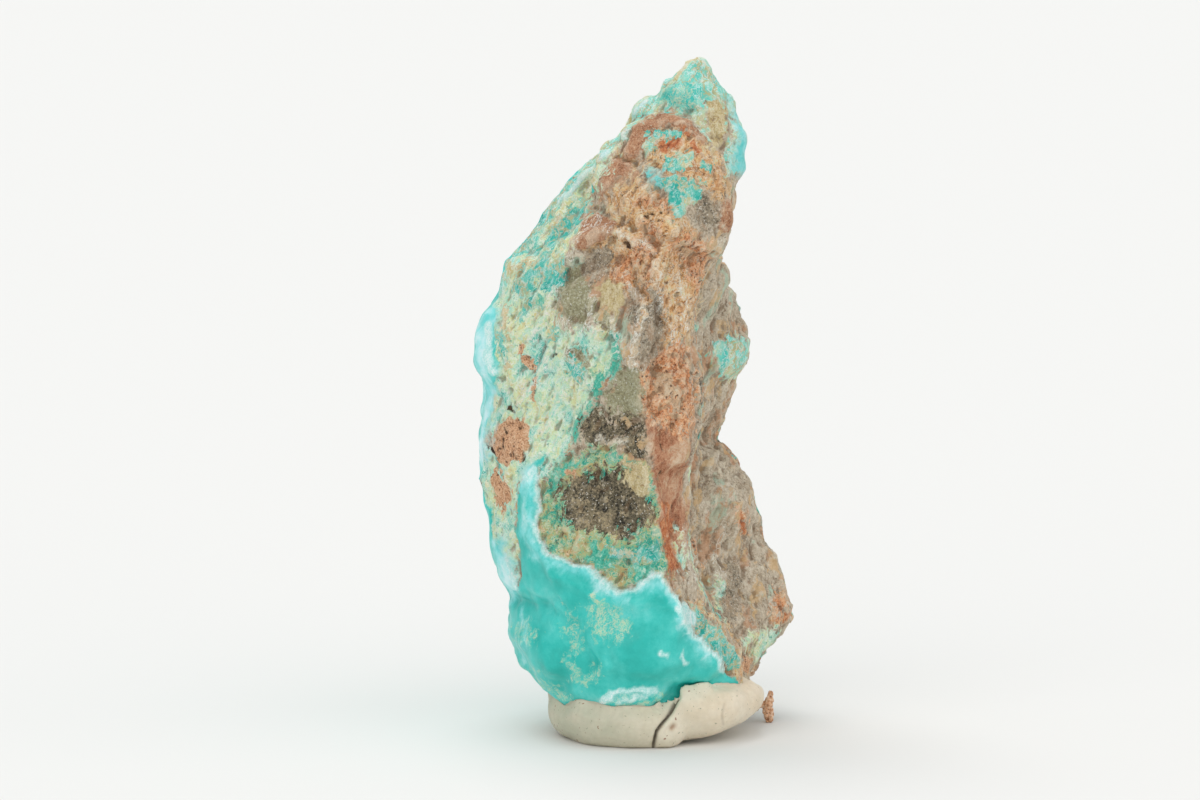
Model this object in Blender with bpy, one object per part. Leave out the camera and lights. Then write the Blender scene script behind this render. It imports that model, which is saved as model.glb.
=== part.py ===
"""A raw hemimorphite specimen held upright by a lump of mounting putty.

The stone is one solid: a broken slab of brown and grey matrix with a turquoise crust grown on its left and
back. It stands in a roll of putty that is folded on itself and flat underneath, and a rust-brown crumb of
the matrix sticks to the end of the roll.

+X is to the viewer's right, +Y away from the viewer and +Z up. The origin is in the flat foot, under the
middle of the putty. Lengths in the tables are in millimetres.
"""

import math

import bmesh
import bpy
import numpy as np
from mathutils import Vector, noise

MM = 0.001
NOISE_SEED = 7

# Guide lines of the stone, one for each corner of its plan. Each point is (height, across, depth), from the
# underside up to the tip, and a section of the stone passes through all the guides in this order.
GUIDES = {
    "left_edge": [
        (5.4, -11.8, 0.5), (7.0, -13.5, 1.0), (8.6, -14.1, 1.0), (10.2, -14.6, 1.0), (13.5, -14.3, 1.2),
        (14.3, -14.6, 1.2), (15.9, -15.6, 1.5), (17.5, -16.3, 2.0), (20.7, -16.4, 2.0), (23.1, -16.9, 2.0),
        (25.6, -17.6, 2.0), (32.0, -17.1, 2.0), (34.4, -16.4, 2.0), (35.9, -17.2, 2.0), (37.1, -18.1, 2.0),
        (40.1, -17.8, 2.0), (42.5, -17.0, 2.0), (43.7, -15.8, 2.0), (47.4, -15.2, 2.0), (50.6, -12.2, 2.0),
        (56.3, -8.3, 2.0), (58.7, -6.1, 2.0), (59.5, -4.5, 1.8), (63.5, -2.5, 1.5), (64.3, -1.2, 1.2),
        (65.1, 0.6, 1.0), (68.2, 2.9, 0.6),
    ],
    "left_face": [
        (3.6, -9.5, -4.0), (8.5, -10.5, -5.8), (13.5, -10.5, -6.0), (19.5, -12.5, -4.6), (27.0, -13.5, -3.6),
        (34.0, -13.0, -3.6), (41.0, -13.5, -3.2), (48.0, -11.0, -3.0), (54.0, -6.8, -2.6), (59.0, -3.2, -1.8),
        (62.8, -0.8, -1.0), (68.2, 3.2, 0.1),
    ],
    "front_face": [
        (3.0, -4.8, -6.6), (8.5, -5.5, -9.0), (13.5, -5.5, -9.2), (19.5, -6.5, -8.0), (27.0, -6.5, -7.4),
        (34.0, -6.8, -7.2), (41.0, -7.0, -7.0), (48.0, -5.5, -7.0), (54.0, -2.5, -5.8), (59.0, 0.0, -4.4),
        (62.8, 1.2, -2.6), (68.2, 3.6, -0.3),
    ],
    "nose": [
        (4.0, 1.0, -7.0), (9.0, 2.0, -9.4), (15.5, 1.5, -10.0), (21.5, 0.0, -10.0), (29.0, 0.0, -9.6),
        (34.0, -0.5, -9.4), (41.0, -1.2, -9.2), (48.0, -0.5, -9.2), (52.5, 1.2, -8.0), (57.0, 3.2, -6.4),
        (62.0, 3.8, -3.4), (68.3, 4.1, -0.4),
    ],
    "front_edge": [
        (4.8, 8.0, -2.6), (9.0, 8.4, -4.0), (13.5, 5.2, -5.0), (18.5, 3.2, -5.2), (24.0, 2.9, -5.6),
        (28.0, 3.2, -5.6), (32.0, 4.4, -5.4), (36.0, 4.3, -5.2), (41.0, 3.9, -5.0), (46.0, 4.2, -5.0),
        (50.5, 5.6, -5.0), (56.0, 6.7, -4.2), (62.0, 6.2, -2.0), (68.2, 4.7, -0.2),
    ],
    "side_hollow": [
        (4.8, 8.8, 1.0), (9.0, 8.2, 0.6), (13.5, 5.4, 1.6), (18.5, 3.8, 2.6), (24.0, 3.4, 3.4),
        (28.0, 3.6, 3.6), (32.0, 4.0, 3.6), (36.0, 4.0, 3.4), (41.0, 4.0, 3.0), (46.0, 4.8, 1.8),
        (50.0, 6.6, -0.6), (56.0, 7.5, -1.4), (60.3, 8.4, -0.8), (68.2, 5.0, 0.2),
    ],
    "right_edge": [
        (5.3, 9.9, 8.0), (6.8, 11.6, 9.0), (8.3, 13.2, 10.5), (9.8, 14.2, 11.0), (11.4, 14.3, 11.0),
        (13.8, 13.5, 11.0), (16.3, 12.5, 11.0), (17.5, 11.3, 11.0), (20.4, 10.9, 11.0), (23.7, 9.9, 10.0),
        (26.1, 8.6, 10.0), (27.8, 7.2, 10.0), (28.6, 6.3, 10.6), (31.5, 7.6, 12.0), (34.7, 9.0, 12.0),
        (36.5, 10.0, 12.0), (40.4, 9.3, 12.0), (43.9, 8.2, 10.0), (46.6, 7.0, 7.5), (49.4, 6.6, 4.0),
        (51.5, 7.4, 1.2), (53.0, 7.7, 0.8), (56.1, 7.6, 0.6), (57.1, 8.3, 0.6), (58.7, 8.3, 0.8),
        (60.3, 8.9, 1.0), (61.9, 8.4, 1.0), (63.5, 8.1, 1.0), (65.2, 6.6, 0.8), (68.2, 5.1, 0.6),
    ],
    "back_right": [
        (5.5, 7.6, 12.0), (9.0, 10.6, 15.4), (14.0, 10.4, 16.8), (20.0, 8.2, 17.2), (28.0, 5.0, 16.6),
        (36.0, 6.4, 17.6), (43.0, 5.2, 14.6), (49.0, 4.4, 8.8), (55.0, 5.6, 5.0), (60.3, 6.6, 4.2),
        (68.2, 4.6, 0.9),
    ],
    "back": [
        (5.2, 0.0, 13.0), (9.0, 1.0, 18.0), (15.0, 0.0, 20.2), (22.0, -1.2, 20.8), (30.0, -2.4, 19.8),
        (38.0, -1.8, 19.0), (45.0, -1.6, 15.6), (51.0, -0.4, 10.4), (57.0, 2.2, 6.4), (62.0, 3.4, 4.2),
        (68.2, 4.0, 1.2),
    ],
    "back_left": [
        (5.0, -7.0, 10.0), (9.0, -8.4, 14.2), (15.0, -9.2, 16.0), (22.0, -10.6, 16.4), (30.0, -11.4, 15.8),
        (38.0, -11.0, 15.0), (45.0, -9.2, 12.4), (51.0, -6.0, 8.8), (57.0, -2.0, 6.0), (62.0, 0.4, 3.8),
        (68.2, 3.4, 1.2),
    ],
    "crust_face": [
        (5.2, -11.0, 5.0), (9.0, -13.2, 7.6), (15.0, -14.0, 8.6), (22.0, -15.6, 9.0), (30.0, -16.4, 9.0),
        (38.0, -16.4, 8.6), (45.0, -13.6, 7.4), (51.0, -10.2, 5.8), (57.0, -5.6, 4.4), (62.0, -1.6, 2.8),
        (68.2, 3.0, 0.9),
    ],
}
CORNER_SOFTNESS = 0.7  # 0 joins the guides by straight lines, 1 by the roundest curve
# How much of the skin at each guide is grown crust, from 0 for broken matrix to 1 for crust.
CRUST_SHARE = {
    "left_edge": 0.5, "left_face": 0.0, "front_face": 0.0, "nose": 0.0, "front_edge": 0.0, "side_hollow": 0.0,
    "right_edge": 0.0, "back_right": 0.0, "back": 0.8, "back_left": 1.0, "crust_face": 1.0,
}
STONE_ROWS = 200
STONE_COLUMNS = 240
WIDEST_ROW = 66  # the columns are shared out among the guides as this row's sides are long
UNDERSIDE_RINGS = 16
UNDERSIDE_SAG = 0.5  # how far the middle of the underside hangs below its rim
STONE_GRAIN = 0.34  # the cells that the stone's skin is made even with before it is thinned out
STONE_TRIANGLES = 7600

# Plates and blocks that stand out of the front or lie deeper, seen from the front: the step out, the width of
# the slope round it, and its outline as (across, height) points.
BLOCKS = {
    "brown_cap": (1.2, 1.5, [
        (-5.6, 55.4), (-4.4, 58.6), (-1.6, 61.7), (0.8, 62.4), (3.4, 61.4), (5.6, 59.4),
        (7.0, 56.2), (7.2, 50.4), (5.4, 48.8), (2.2, 50.2), (-1.2, 52.0), (-3.8, 53.0),
    ]),
    "mauve_plate": (0.4, 1.2, [
        (-6.0, 54.4), (-3.6, 56.4), (-0.8, 56.6), (0.2, 55.2), (-2.2, 53.6), (-5.4, 53.2),
    ]),
    "dark_lens": (0.5, 0.9, [
        (-9.6, 24.8), (-8.2, 26.4), (-5.0, 27.4), (-5.6, 29.4), (-7.2, 31.2), (-5.0, 32.4),
        (-1.8, 31.6), (-0.6, 28.0), (-0.2, 22.2), (-1.6, 19.6), (-5.4, 18.4), (-8.4, 20.4),
    ]),
    "olive_lens": (0.4, 0.8, [
        (-9.4, 41.4), (-8.6, 44.4), (-6.4, 45.2), (-4.8, 43.2), (-5.4, 40.6), (-7.6, 39.4),
    ]),
    "rust_patch": (0.4, 0.7, [
        (-16.4, 28.6), (-15.8, 31.0), (-13.8, 31.8), (-12.8, 30.6), (-13.2, 28.4), (-15.2, 27.4),
    ]),
    "red_bench": (-0.5, 0.9, [
        (0.4, 28.4), (2.6, 28.6), (2.8, 22.0), (2.2, 17.4), (1.2, 17.0), (0.6, 22.0),
    ]),
    "sage_hollow": (-0.5, 2.2, [
        (-13.6, 44.0), (-10.0, 44.6), (-9.6, 38.6), (-7.4, 33.0), (-9.6, 30.0), (-13.0, 34.0),
    ]),
}
# Ridges and clefts of the front: the height of the ridge, its half width, and its crest as (across, height)
# points.
CREASES = {
    "spine": (1.0, 1.5, [
        (1.4, 52.4), (-0.3, 49.6), (-1.0, 46.6), (-2.1, 39.6), (-1.4, 33.6), (-0.3, 29.0), (0.2, 23.4),
        (1.2, 17.6),
    ]),
    "spine_cleft": (-0.8, 0.9, [(0.6, 45.4), (0.0, 41.0), (0.4, 37.4)]),
    "rust_lump": (0.9, 2.0, [(1.6, 35.4), (2.6, 32.6), (2.0, 29.6)]),
    "upper_rib": (0.8, 1.2, [(-7.8, 49.8), (-5.0, 51.2), (-2.2, 50.8)]),
    "upper_gully": (-0.9, 1.1, [(-8.6, 47.6), (-5.6, 48.6), (-2.6, 48.4), (-1.6, 45.0)]),
    "tip_gully": (-0.5, 0.9, [(0.4, 64.4), (3.2, 63.2), (5.8, 61.6)]),
    "left_gully": (-0.8, 1.0, [(-12.6, 48.8), (-9.6, 51.6), (-7.0, 54.6), (-5.6, 58.2), (-2.4, 62.2)]),
    "band_lip": (0.5, 0.7, [
        (-12.0, 26.0), (-12.1, 20.4), (-10.2, 17.6), (-7.2, 16.4), (-4.6, 15.2), (-1.8, 14.6), (-0.2, 16.2),
        (1.6, 14.8), (3.0, 12.4), (4.6, 9.4), (6.6, 7.0),
    ]),
    "blue_ledge": (-0.7, 0.9, [(-14.8, 13.8), (-11.4, 13.4), (-8.2, 12.6), (-7.4, 10.4), (-6.4, 8.2)]),
    "left_lobe": (0.9, 2.6, [(-12.0, 10.4), (-10.6, 7.6)]),
    "right_lobe": (0.7, 3.4, [(-3.8, 10.4), (0.4, 9.2)]),
    "foot_lobe": (0.5, 1.6, [(-4.6, 4.6), (-0.4, 5.0)]),
}
WOBBLES = ((3.1, 0.8), (1.1, 0.35))  # the length and the reach of the waves in the edges of those shapes
FRONT_SETS_IN, FRONT_IS_FULL = -0.05, 0.35  # how far skin faces the viewer where the front's shapes start
# Lumps and hollows of the right side, which faces the viewer on a slant: (across, depth, height), the radius
# and the step out.
SIDE_LUMPS = [
    ((7.4, 8.4, 37.4), 4.2, 0.9), ((6.6, 8.0, 22.0), 5.4, 1.3), ((10.0, 9.0, 11.0), 4.4, 1.0),
    ((6.0, 7.4, 29.6), 3.0, -1.0), ((8.6, 7.0, 15.4), 2.4, -0.8), ((5.6, 4.0, 44.0), 2.6, 0.7),
]

# Broken matrix shows flat facets that run along the bedding, in two sizes: the size of a facet and its step.
FACET_SIZES = ((5.2, 0.62), (2.3, 0.26))
FACET_LEAN = 1.2  # how much a facet leans, against how far it stands out
FACET_EDGE = 0.25  # the share of a cell over which one facet runs into the next
FACET_SHIFT = Vector((3.0, 5.1, 6.9))
FACET_MIX, LEAN_MIX = 7.3, 3.1  # factors that make the facets of neighbouring cells unlike each other
BEDDING = Vector((0.4, 0.0, 0.92))
BEDDING_STRETCH = 0.5
# Grown crust shows round domes, in two sizes: the size of a dome and its height.
DOME_SIZES = ((4.6, 1.1), (2.1, 0.4))
DOME_STEEPNESS = 1.6
DOME_SHIFT = Vector((5.0, 6.5, 3.5))

# The putty is a pad under the stone, and rolls round it that meet in the fold. Each roll is (across, depth,
# height, radius) at points along its middle line. All of it is cut off flat at the ground.
PAD_CENTRE, PAD_RADII = (-0.6, 2.0, 1.8), (9.2, 8.6, 2.9)
PAD_SEGMENTS = 48
ROLLS = {
    "left_roll": [
        (-5.6, 8.6, 2.4, 2.6), (-7.9, 4.4, 2.5, 2.8), (-7.9, -1.0, 2.5, 2.9), (-5.6, -4.8, 2.8, 3.4),
        (-1.8, -6.1, 2.6, 3.3), (0.8, -6.3, 1.8, 2.4),
    ],
    "right_roll": [
        (-0.6, -3.8, 4.5, 1.8), (2.2, -4.9, 3.4, 3.3), (5.4, -4.1, 3.2, 3.4), (8.6, -0.6, 3.3, 2.9),
        (9.8, 2.8, 3.1, 1.8), (10.3, 5.1, 2.85, 0.75),
    ],
    "back_lobe": [(-9.0, 1.0, 4.8, 2.2), (-7.6, 5.0, 4.6, 2.3)],
}
ROLL_SIDES = 24
RINGS_PER_POINT = 6
ROLL_EVENINGS = 3  # how often a roll's middle line is evened out
END_ANGLES = (0.5, 1.0, 1.4)  # where the round end of a roll has its rings, in radians from its last ring
PUTTY_GRAIN = 0.4
PUTTY_TRIANGLES = 1700
STONE_GAP = 0.35  # what the putty keeps clear of the stone

# The crumb has a head and two legs, each (across, depth, height, radius) from one end to the other.
CRUMB_LEGS = [
    [(11.7, 6.1, 2.8, 0.36), (11.5, 6.2, 2.0, 0.62), (11.4, 6.3, 1.2, 0.52), (11.4, 6.3, 0.5, 0.44)],
    [(11.4, 6.1, 2.1, 0.5), (10.9, 6.4, 1.3, 0.34), (10.75, 6.5, 1.0, 0.24)],
]
CRUMB_GRAIN = 0.12
CRUMB_TRIANGLES = 360
CRUMB_FACET, CRUMB_STEP = 0.6, 0.12

# Each finish is its colour, in linear light, and its roughness. The stone shows two, and its faces on the right
# and in the blocks named here are matrix.
FINISHES = {
    "turquoise_crust": ((0.06, 0.50, 0.47), 0.35),
    "brown_matrix": ((0.25, 0.14, 0.09), 0.8),
    "cream_putty": ((0.66, 0.59, 0.49), 0.65),
    "rust_crumb": ((0.37, 0.12, 0.06), 0.85),
}
MATRIX_BLOCKS = ("brown_cap", "dark_lens", "olive_lens", "rust_patch", "red_bench")
MATRIX_FACING = 0.5
SMOOTH_UP_TO = math.radians(35)  # edges that turn more than this stay sharp


def smooth_step(low, high, value):
    """0 below low, 1 above high, and an even slope between them. low may be above high."""
    share = np.clip((value - low) / (high - low), 0.0, 1.0)
    return share * share * (3.0 - 2.0 * share)


def to_path(places, path):
    """How far each place, a pair of numbers, is from a path of straight runs."""
    nearest = np.full(len(places), np.inf)
    for start, end in zip(np.array(path[:-1], float), np.array(path[1:], float)):
        way = end - start
        share = np.clip((places - start) @ way / (way @ way), 0.0, 1.0)
        nearest = np.minimum(nearest, np.linalg.norm(places - start - share[:, None] * way, axis=1))
    return nearest


def inside(places, outline):
    """Whether each place lies within a closed outline, in which no side is level."""
    found = np.zeros(len(places), bool)
    for (x0, y0), (x1, y1) in zip(outline, outline[1:] + outline[:1]):
        crosses = (y0 > places[:, 1]) != (y1 > places[:, 1])
        found ^= crosses & (places[:, 0] < (x1 - x0) * (places[:, 1] - y0) / (y1 - y0) + x0)
    return found


def guide_rows(points, count):
    """(across, depth, height) at count even steps of a guide's height."""
    height, across, depth = np.array(points, float).T
    steps = np.linspace(height[0], height[-1], count)
    return np.stack([np.interp(steps, height, across), np.interp(steps, height, depth), steps], axis=1)


def closed_curve(corners, counts):
    """Points on a closed curve through the corners, with that many on the way to each next corner."""
    tangents = (np.roll(corners, -1, axis=0) - np.roll(corners, 1, axis=0)) / 2 * CORNER_SOFTNESS
    curve = []
    for i, count in enumerate(counts):
        j = (i + 1) % len(corners)
        t = np.linspace(0.0, 1.0, count, endpoint=False)[:, None]
        curve.append(
            (2 * t**3 - 3 * t**2 + 1) * corners[i] + (t**3 - 2 * t**2 + t) * tangents[i]
            + (3 * t**2 - 2 * t**3) * corners[j] + (t**3 - t**2) * tangents[j]
        )
    return np.concatenate(curve)


def shared_out(total, lengths):
    """Whole numbers in proportion to the lengths that add up to total."""
    ends = np.round(np.cumsum(lengths) / np.sum(lengths) * total).astype(int)
    return np.diff(ends, prepend=0)


def stone_rings():
    """Rings of (across, depth, height, crust share), from the middle of the stone's underside to its tip."""
    guides = np.stack([guide_rows(points, STONE_ROWS) for points in GUIDES.values()], axis=1)
    shares = np.array([CRUST_SHARE[name] for name in GUIDES])
    corners = np.concatenate([guides, np.broadcast_to(shares[None, :, None], (*guides.shape[:2], 1))], axis=2)
    widest = guides[WIDEST_ROW]
    counts = shared_out(STONE_COLUMNS, np.linalg.norm(np.roll(widest, -1, axis=0) - widest, axis=1))
    rings = [closed_curve(row, counts) for row in corners]
    rim = rings[0]
    centre = rim.mean(axis=0)
    underside = []
    for i in range(1, UNDERSIDE_RINGS):
        share = i / UNDERSIDE_RINGS
        ring = centre + (rim - centre) * share
        ring[:, 2] -= UNDERSIDE_SAG * (1.0 - share**2)
        underside.append(ring)
    return np.array(underside + rings)


def mesh_of(shape, name):
    """A mesh of this bmesh, which is freed."""
    mesh = bpy.data.meshes.new(name)
    shape.to_mesh(mesh)
    shape.free()
    return mesh


def mesh_of_rings(rings, name):
    """A closed mesh of rings that all have the same number of points, closed by a fan at each end."""
    shape = bmesh.new()
    rows = [[shape.verts.new(point) for point in ring] for ring in rings]
    for lower, upper in zip(rows, rows[1:]):
        for i in range(len(lower)):
            j = (i + 1) % len(lower)
            shape.faces.new((lower[i], lower[j], upper[j], upper[i]))
    for row in (rows[0], rows[-1]):
        middle = shape.verts.new(sum((v.co for v in row), Vector()) / len(row))
        for i in range(len(row)):
            shape.faces.new((row[i], row[(i + 1) % len(row)], middle))
    bmesh.ops.recalc_face_normals(shape, faces=shape.faces)
    return mesh_of(shape, name)


def put_in_scene(mesh, name):
    piece = bpy.data.objects.new(name, mesh)
    bpy.context.scene.collection.objects.link(piece)
    return piece


def with_modifier(mesh, kind, **settings):
    """A new mesh: this one as one of Blender's modifiers makes it."""
    piece = put_in_scene(mesh, "at_work")
    modifier = piece.modifiers.new(kind.lower(), kind)
    for setting, value in settings.items():
        setattr(modifier, setting, value)
    graph = bpy.context.evaluated_depsgraph_get()
    made = bpy.data.meshes.new_from_object(piece.evaluated_get(graph))
    bpy.data.objects.remove(piece)
    made.calc_loop_triangles()
    return made


def even_skin(mesh, cell):
    """The mesh made again of even cells, with the bodies in it joined in one."""
    return with_modifier(mesh, "REMESH", mode="VOXEL", voxel_size=cell * MM)


def thinned(mesh, triangles):
    """The mesh with about that many triangles, closest together where its shape turns most."""
    return with_modifier(mesh, "DECIMATE", ratio=triangles / len(mesh.loop_triangles))


def material(name):
    """The Principled material of one of the FINISHES."""
    colour, roughness = FINISHES[name]
    made = bpy.data.materials.new(name)
    made.use_nodes = True
    shader = made.node_tree.nodes["Principled BSDF"]
    shader.inputs["Base Color"].default_value = (*colour, 1.0)
    shader.inputs["Roughness"].default_value = roughness
    shader.inputs["Metallic"].default_value = 0.0
    return made


def finished_piece(mesh, name, *finishes):
    """The object of that name, smooth but for its sharp edges, in its own materials."""
    mesh.shade_smooth()
    mesh.set_sharp_from_angle(angle=SMOOTH_UP_TO)
    for finish in finishes:
        mesh.materials.append(material(finish))
    return put_in_scene(mesh, name)


def broken_facets(point, size):
    """How far a broken face stands out at a point: one leaning facet for each cell of the given size."""
    point = Vector(point)
    moved = (point - BEDDING * BEDDING.dot(point) * BEDDING_STRETCH) / size + FACET_SHIFT
    distances, centres = noise.voronoi(moved)
    nearest, second = (
        noise.noise(centre * FACET_MIX) + FACET_LEAN * noise.noise_vector(centre * LEAN_MIX).dot(moved - centre)
        for centre in centres[:2]
    )
    share = min(1.0, (distances[1] - distances[0]) / FACET_EDGE)
    return (nearest * (1.0 + share) + second * (1.0 - share)) / 2


def dome(point, size):
    """The height of round domes packed side by side, from 0 in the clefts to 1 on their tops."""
    nearest, second = noise.voronoi(Vector(point) / size + DOME_SHIFT)[0][:2]
    return min(1.0, (second - nearest) * DOME_STEEPNESS) ** 0.5


def wobbled(point):
    """The point moved a little, by waves that keep the edges of blocks and creases from running even."""
    point = Vector(point)
    return point + sum((noise.noise_vector(point / length) * reach for length, reach in WOBBLES), Vector())


def front_relief(places):
    """How far the blocks and creases move each (across, height) place of the front out."""
    out = np.zeros(len(places))
    for step, slope, outline in BLOCKS.values():
        away = to_path(places, outline + outline[:1])
        out += step * smooth_step(-slope / 2, slope / 2, np.where(inside(places, outline), away, -away))
    for step, width, crest in CREASES.values():
        out += step * smooth_step(width, 0.0, to_path(places, crest))
    return out


def stone_relief(points, facings, crust):
    """How far each point of the stone's skin moves out: broken facets, domes, and the shapes of each side."""
    facets = sum(step * np.array([broken_facets(p, size) for p in points]) for size, step in FACET_SIZES)
    domes = sum(step * (np.array([dome(p, size) for p in points]) - 0.5) for size, step in DOME_SIZES)
    front = smooth_step(FRONT_SETS_IN, FRONT_IS_FULL, -facings[:, 1])
    out = facets * (1.0 - crust) + domes * crust
    out += front * front_relief(np.array([wobbled(p).xz for p in points]))
    for centre, radius, step in SIDE_LUMPS:
        out += step * smooth_step(radius, 0.0, np.linalg.norm(points - np.array(centre), axis=1))
    return out


def give_matrix_its_faces(mesh):
    """Gives the second material to the faces on the right and to those in the matrix blocks of the front."""
    centres = np.array([face.center for face in mesh.polygons]) / MM
    facings = np.array([face.normal for face in mesh.polygons])
    matrix = facings[:, 0] > MATRIX_FACING
    for name in MATRIX_BLOCKS:
        matrix |= (facings[:, 1] < 0.0) & inside(centres[:, [0, 2]], BLOCKS[name][2])
    mesh.polygons.foreach_set("material_index", matrix.astype(np.int32))


def make_stone():
    rings = stone_rings()
    mesh = mesh_of_rings(rings[:, :, :3], "stone_rings")
    points = np.array([v.co for v in mesh.vertices])
    facings = np.array([v.normal for v in mesh.vertices])
    crust = np.zeros(len(points))
    crust[: rings[:, :, 3].size] = rings[:, :, 3].ravel()
    moved = (points + facings * stone_relief(points, facings, crust)[:, None]) * MM
    mesh.vertices.foreach_set("co", moved.astype(np.float32).ravel())
    mesh = thinned(even_skin(mesh, STONE_GRAIN), STONE_TRIANGLES)
    stone = finished_piece(mesh, "hemimorphite_stone", "turquoise_crust", "brown_matrix")
    give_matrix_its_faces(mesh)
    return stone


def round_end(ring, middle, out):
    """Rings that close the end of a roll as half a ball does. out runs from the middle to the ball's tip."""
    return [[middle + (p - middle) * math.cos(a) + out * math.sin(a) for p in ring] for a in END_ANGLES]


def roll_mesh(spine):
    """A roll round a middle line of (across, depth, height, radius) points, with round ends."""
    spine = np.array(spine, float)
    steps = np.linspace(0.0, len(spine) - 1.0, RINGS_PER_POINT * len(spine))
    line = np.stack([np.interp(steps, np.arange(len(spine)), column) for column in spine.T], axis=1)
    for _ in range(ROLL_EVENINGS):
        line[1:-1] = (line[:-2] + 2 * line[1:-1] + line[2:]) / 4
    middles, radii = [Vector(row[:3]) for row in line], line[:, 3].tolist()
    ways = [Vector(way).normalized() for way in np.gradient(line[:, :3], axis=0)]
    turns = [2 * math.pi * i / ROLL_SIDES for i in range(ROLL_SIDES)]
    side = ways[0].orthogonal()
    rings = []
    for middle, way, radius in zip(middles, ways, radii):
        side = (side - way * side.dot(way)).normalized()
        up = side.cross(way)
        rings.append([middle + (side * math.cos(t) + up * math.sin(t)) * radius for t in turns])
    start = round_end(rings[0], middles[0], -ways[0] * radii[0])
    end = round_end(rings[-1], middles[-1], ways[-1] * radii[-1])
    return mesh_of_rings(start[::-1] + rings + end, "roll")


def joined(meshes):
    """One mesh of several, scaled from millimetres to metres."""
    shape = bmesh.new()
    for mesh in meshes:
        shape.from_mesh(mesh)
    bmesh.ops.scale(shape, vec=(MM, MM, MM), verts=shape.verts)
    return mesh_of(shape, "joined")


def pad_mesh():
    shape = bmesh.new()
    bmesh.ops.create_uvsphere(shape, u_segments=PAD_SEGMENTS, v_segments=PAD_SEGMENTS // 2, radius=1.0)
    bmesh.ops.scale(shape, vec=PAD_RADII, verts=shape.verts)
    bmesh.ops.translate(shape, vec=PAD_CENTRE, verts=shape.verts)
    return mesh_of(shape, "pad")


def cut_flat(mesh):
    """The mesh without what is below the ground, closed there by a flat face."""
    shape = bmesh.new()
    shape.from_mesh(mesh)
    whole = [*shape.verts, *shape.edges, *shape.faces]
    ground = bmesh.ops.bisect_plane(shape, geom=whole, plane_co=(0, 0, 0), plane_no=(0, 0, 1), clear_inner=True)
    rim = [part for part in ground["geom_cut"] if isinstance(part, bmesh.types.BMEdge)]
    bmesh.ops.triangle_fill(shape, use_beauty=True, edges=rim, normal=(0, 0, -1))
    bmesh.ops.recalc_face_normals(shape, faces=shape.faces)
    return mesh_of(shape, "cut_flat")


def stone_mould(stone):
    """A cutter: the stone, grown by the gap that the putty keeps to it."""
    mesh = stone.data.copy()
    grown = np.array([v.co + v.normal * STONE_GAP * MM for v in mesh.vertices], np.float32)
    mesh.vertices.foreach_set("co", grown.ravel())
    mould = put_in_scene(mesh, "stone_mould")
    mould.hide_render = True
    mould.display_type = "WIRE"
    return mould


def make_putty(stone):
    lump = joined([pad_mesh(), *map(roll_mesh, ROLLS.values())])
    mesh = cut_flat(thinned(even_skin(lump, PUTTY_GRAIN), PUTTY_TRIANGLES))
    putty = finished_piece(mesh, "putty_base", "cream_putty")
    imprint = putty.modifiers.new("imprint_of_the_stone", "BOOLEAN")
    imprint.operation = "DIFFERENCE"
    imprint.object = stone_mould(stone)


def make_crumb():
    mesh = even_skin(joined(map(roll_mesh, CRUMB_LEGS)), CRUMB_GRAIN)
    for vertex in mesh.vertices:
        vertex.co += vertex.normal * broken_facets(vertex.co / MM, CRUMB_FACET) * CRUMB_STEP * MM
    finished_piece(thinned(mesh, CRUMB_TRIANGLES), "rust_crumb", "rust_crumb")


def main():
    for old in list(bpy.data.objects):
        bpy.data.objects.remove(old)
    noise.seed_set(NOISE_SEED)
    stone = make_stone()
    make_putty(stone)
    make_crumb()


main()
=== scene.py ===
# %% [markdown]
# # A raw hemimorphite specimen on mounting putty
#
# The object is a broken slab of brown and grey matrix, 65 mm tall, with a turquoise crust of hemimorphite
# grown on its left and back. It stands in a pinched lump of cream mounting putty, and a rust-brown crumb of
# the matrix sticks to the end of the putty. The solids come packed in model.glb and stay where they are.
# This lesson gives each of them a fine surface in the same place, and a finish made of nodes.

# %% The imported model
import math

import bmesh
import bpy
import numpy as np
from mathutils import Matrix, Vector, noise
from mathutils.bvhtree import BVHTree


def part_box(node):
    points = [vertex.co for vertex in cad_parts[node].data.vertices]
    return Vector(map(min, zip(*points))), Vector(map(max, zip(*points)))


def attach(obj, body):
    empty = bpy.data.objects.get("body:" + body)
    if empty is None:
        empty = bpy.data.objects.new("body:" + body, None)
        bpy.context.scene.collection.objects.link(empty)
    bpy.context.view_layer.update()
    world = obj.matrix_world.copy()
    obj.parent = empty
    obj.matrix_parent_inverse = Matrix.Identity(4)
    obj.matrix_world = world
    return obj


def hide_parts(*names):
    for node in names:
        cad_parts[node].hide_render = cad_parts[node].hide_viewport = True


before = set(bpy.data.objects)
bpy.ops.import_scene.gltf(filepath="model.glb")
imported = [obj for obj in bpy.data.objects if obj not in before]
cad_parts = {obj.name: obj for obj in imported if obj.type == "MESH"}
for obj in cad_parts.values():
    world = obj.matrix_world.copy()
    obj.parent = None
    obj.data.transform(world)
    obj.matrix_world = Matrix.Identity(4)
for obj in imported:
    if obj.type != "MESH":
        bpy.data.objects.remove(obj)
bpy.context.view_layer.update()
MM = 0.001
NOISE_SEED = 7
noise.seed_set(NOISE_SEED)

# %% [markdown]
# ## The camera
#
# A specimen like this is photographed from a little above the table, with a long lens, so that its height
# shows without leaning. The camera looks along +Y and 7.5 degrees down, at a point half way up the stone. The
# lens and the distance are chosen together: at this distance one millimetre of the object covers ten pixels
# of a picture that is 1200 pixels wide.

# %% Camera
VIEW_DOWN = math.radians(7.5)
VIEW_DISTANCE = 0.6
VIEW_TARGET = Vector((-5.5, 0.0, 33.9)) * MM
LENS, SENSOR = 180.0, 36.0

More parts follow.
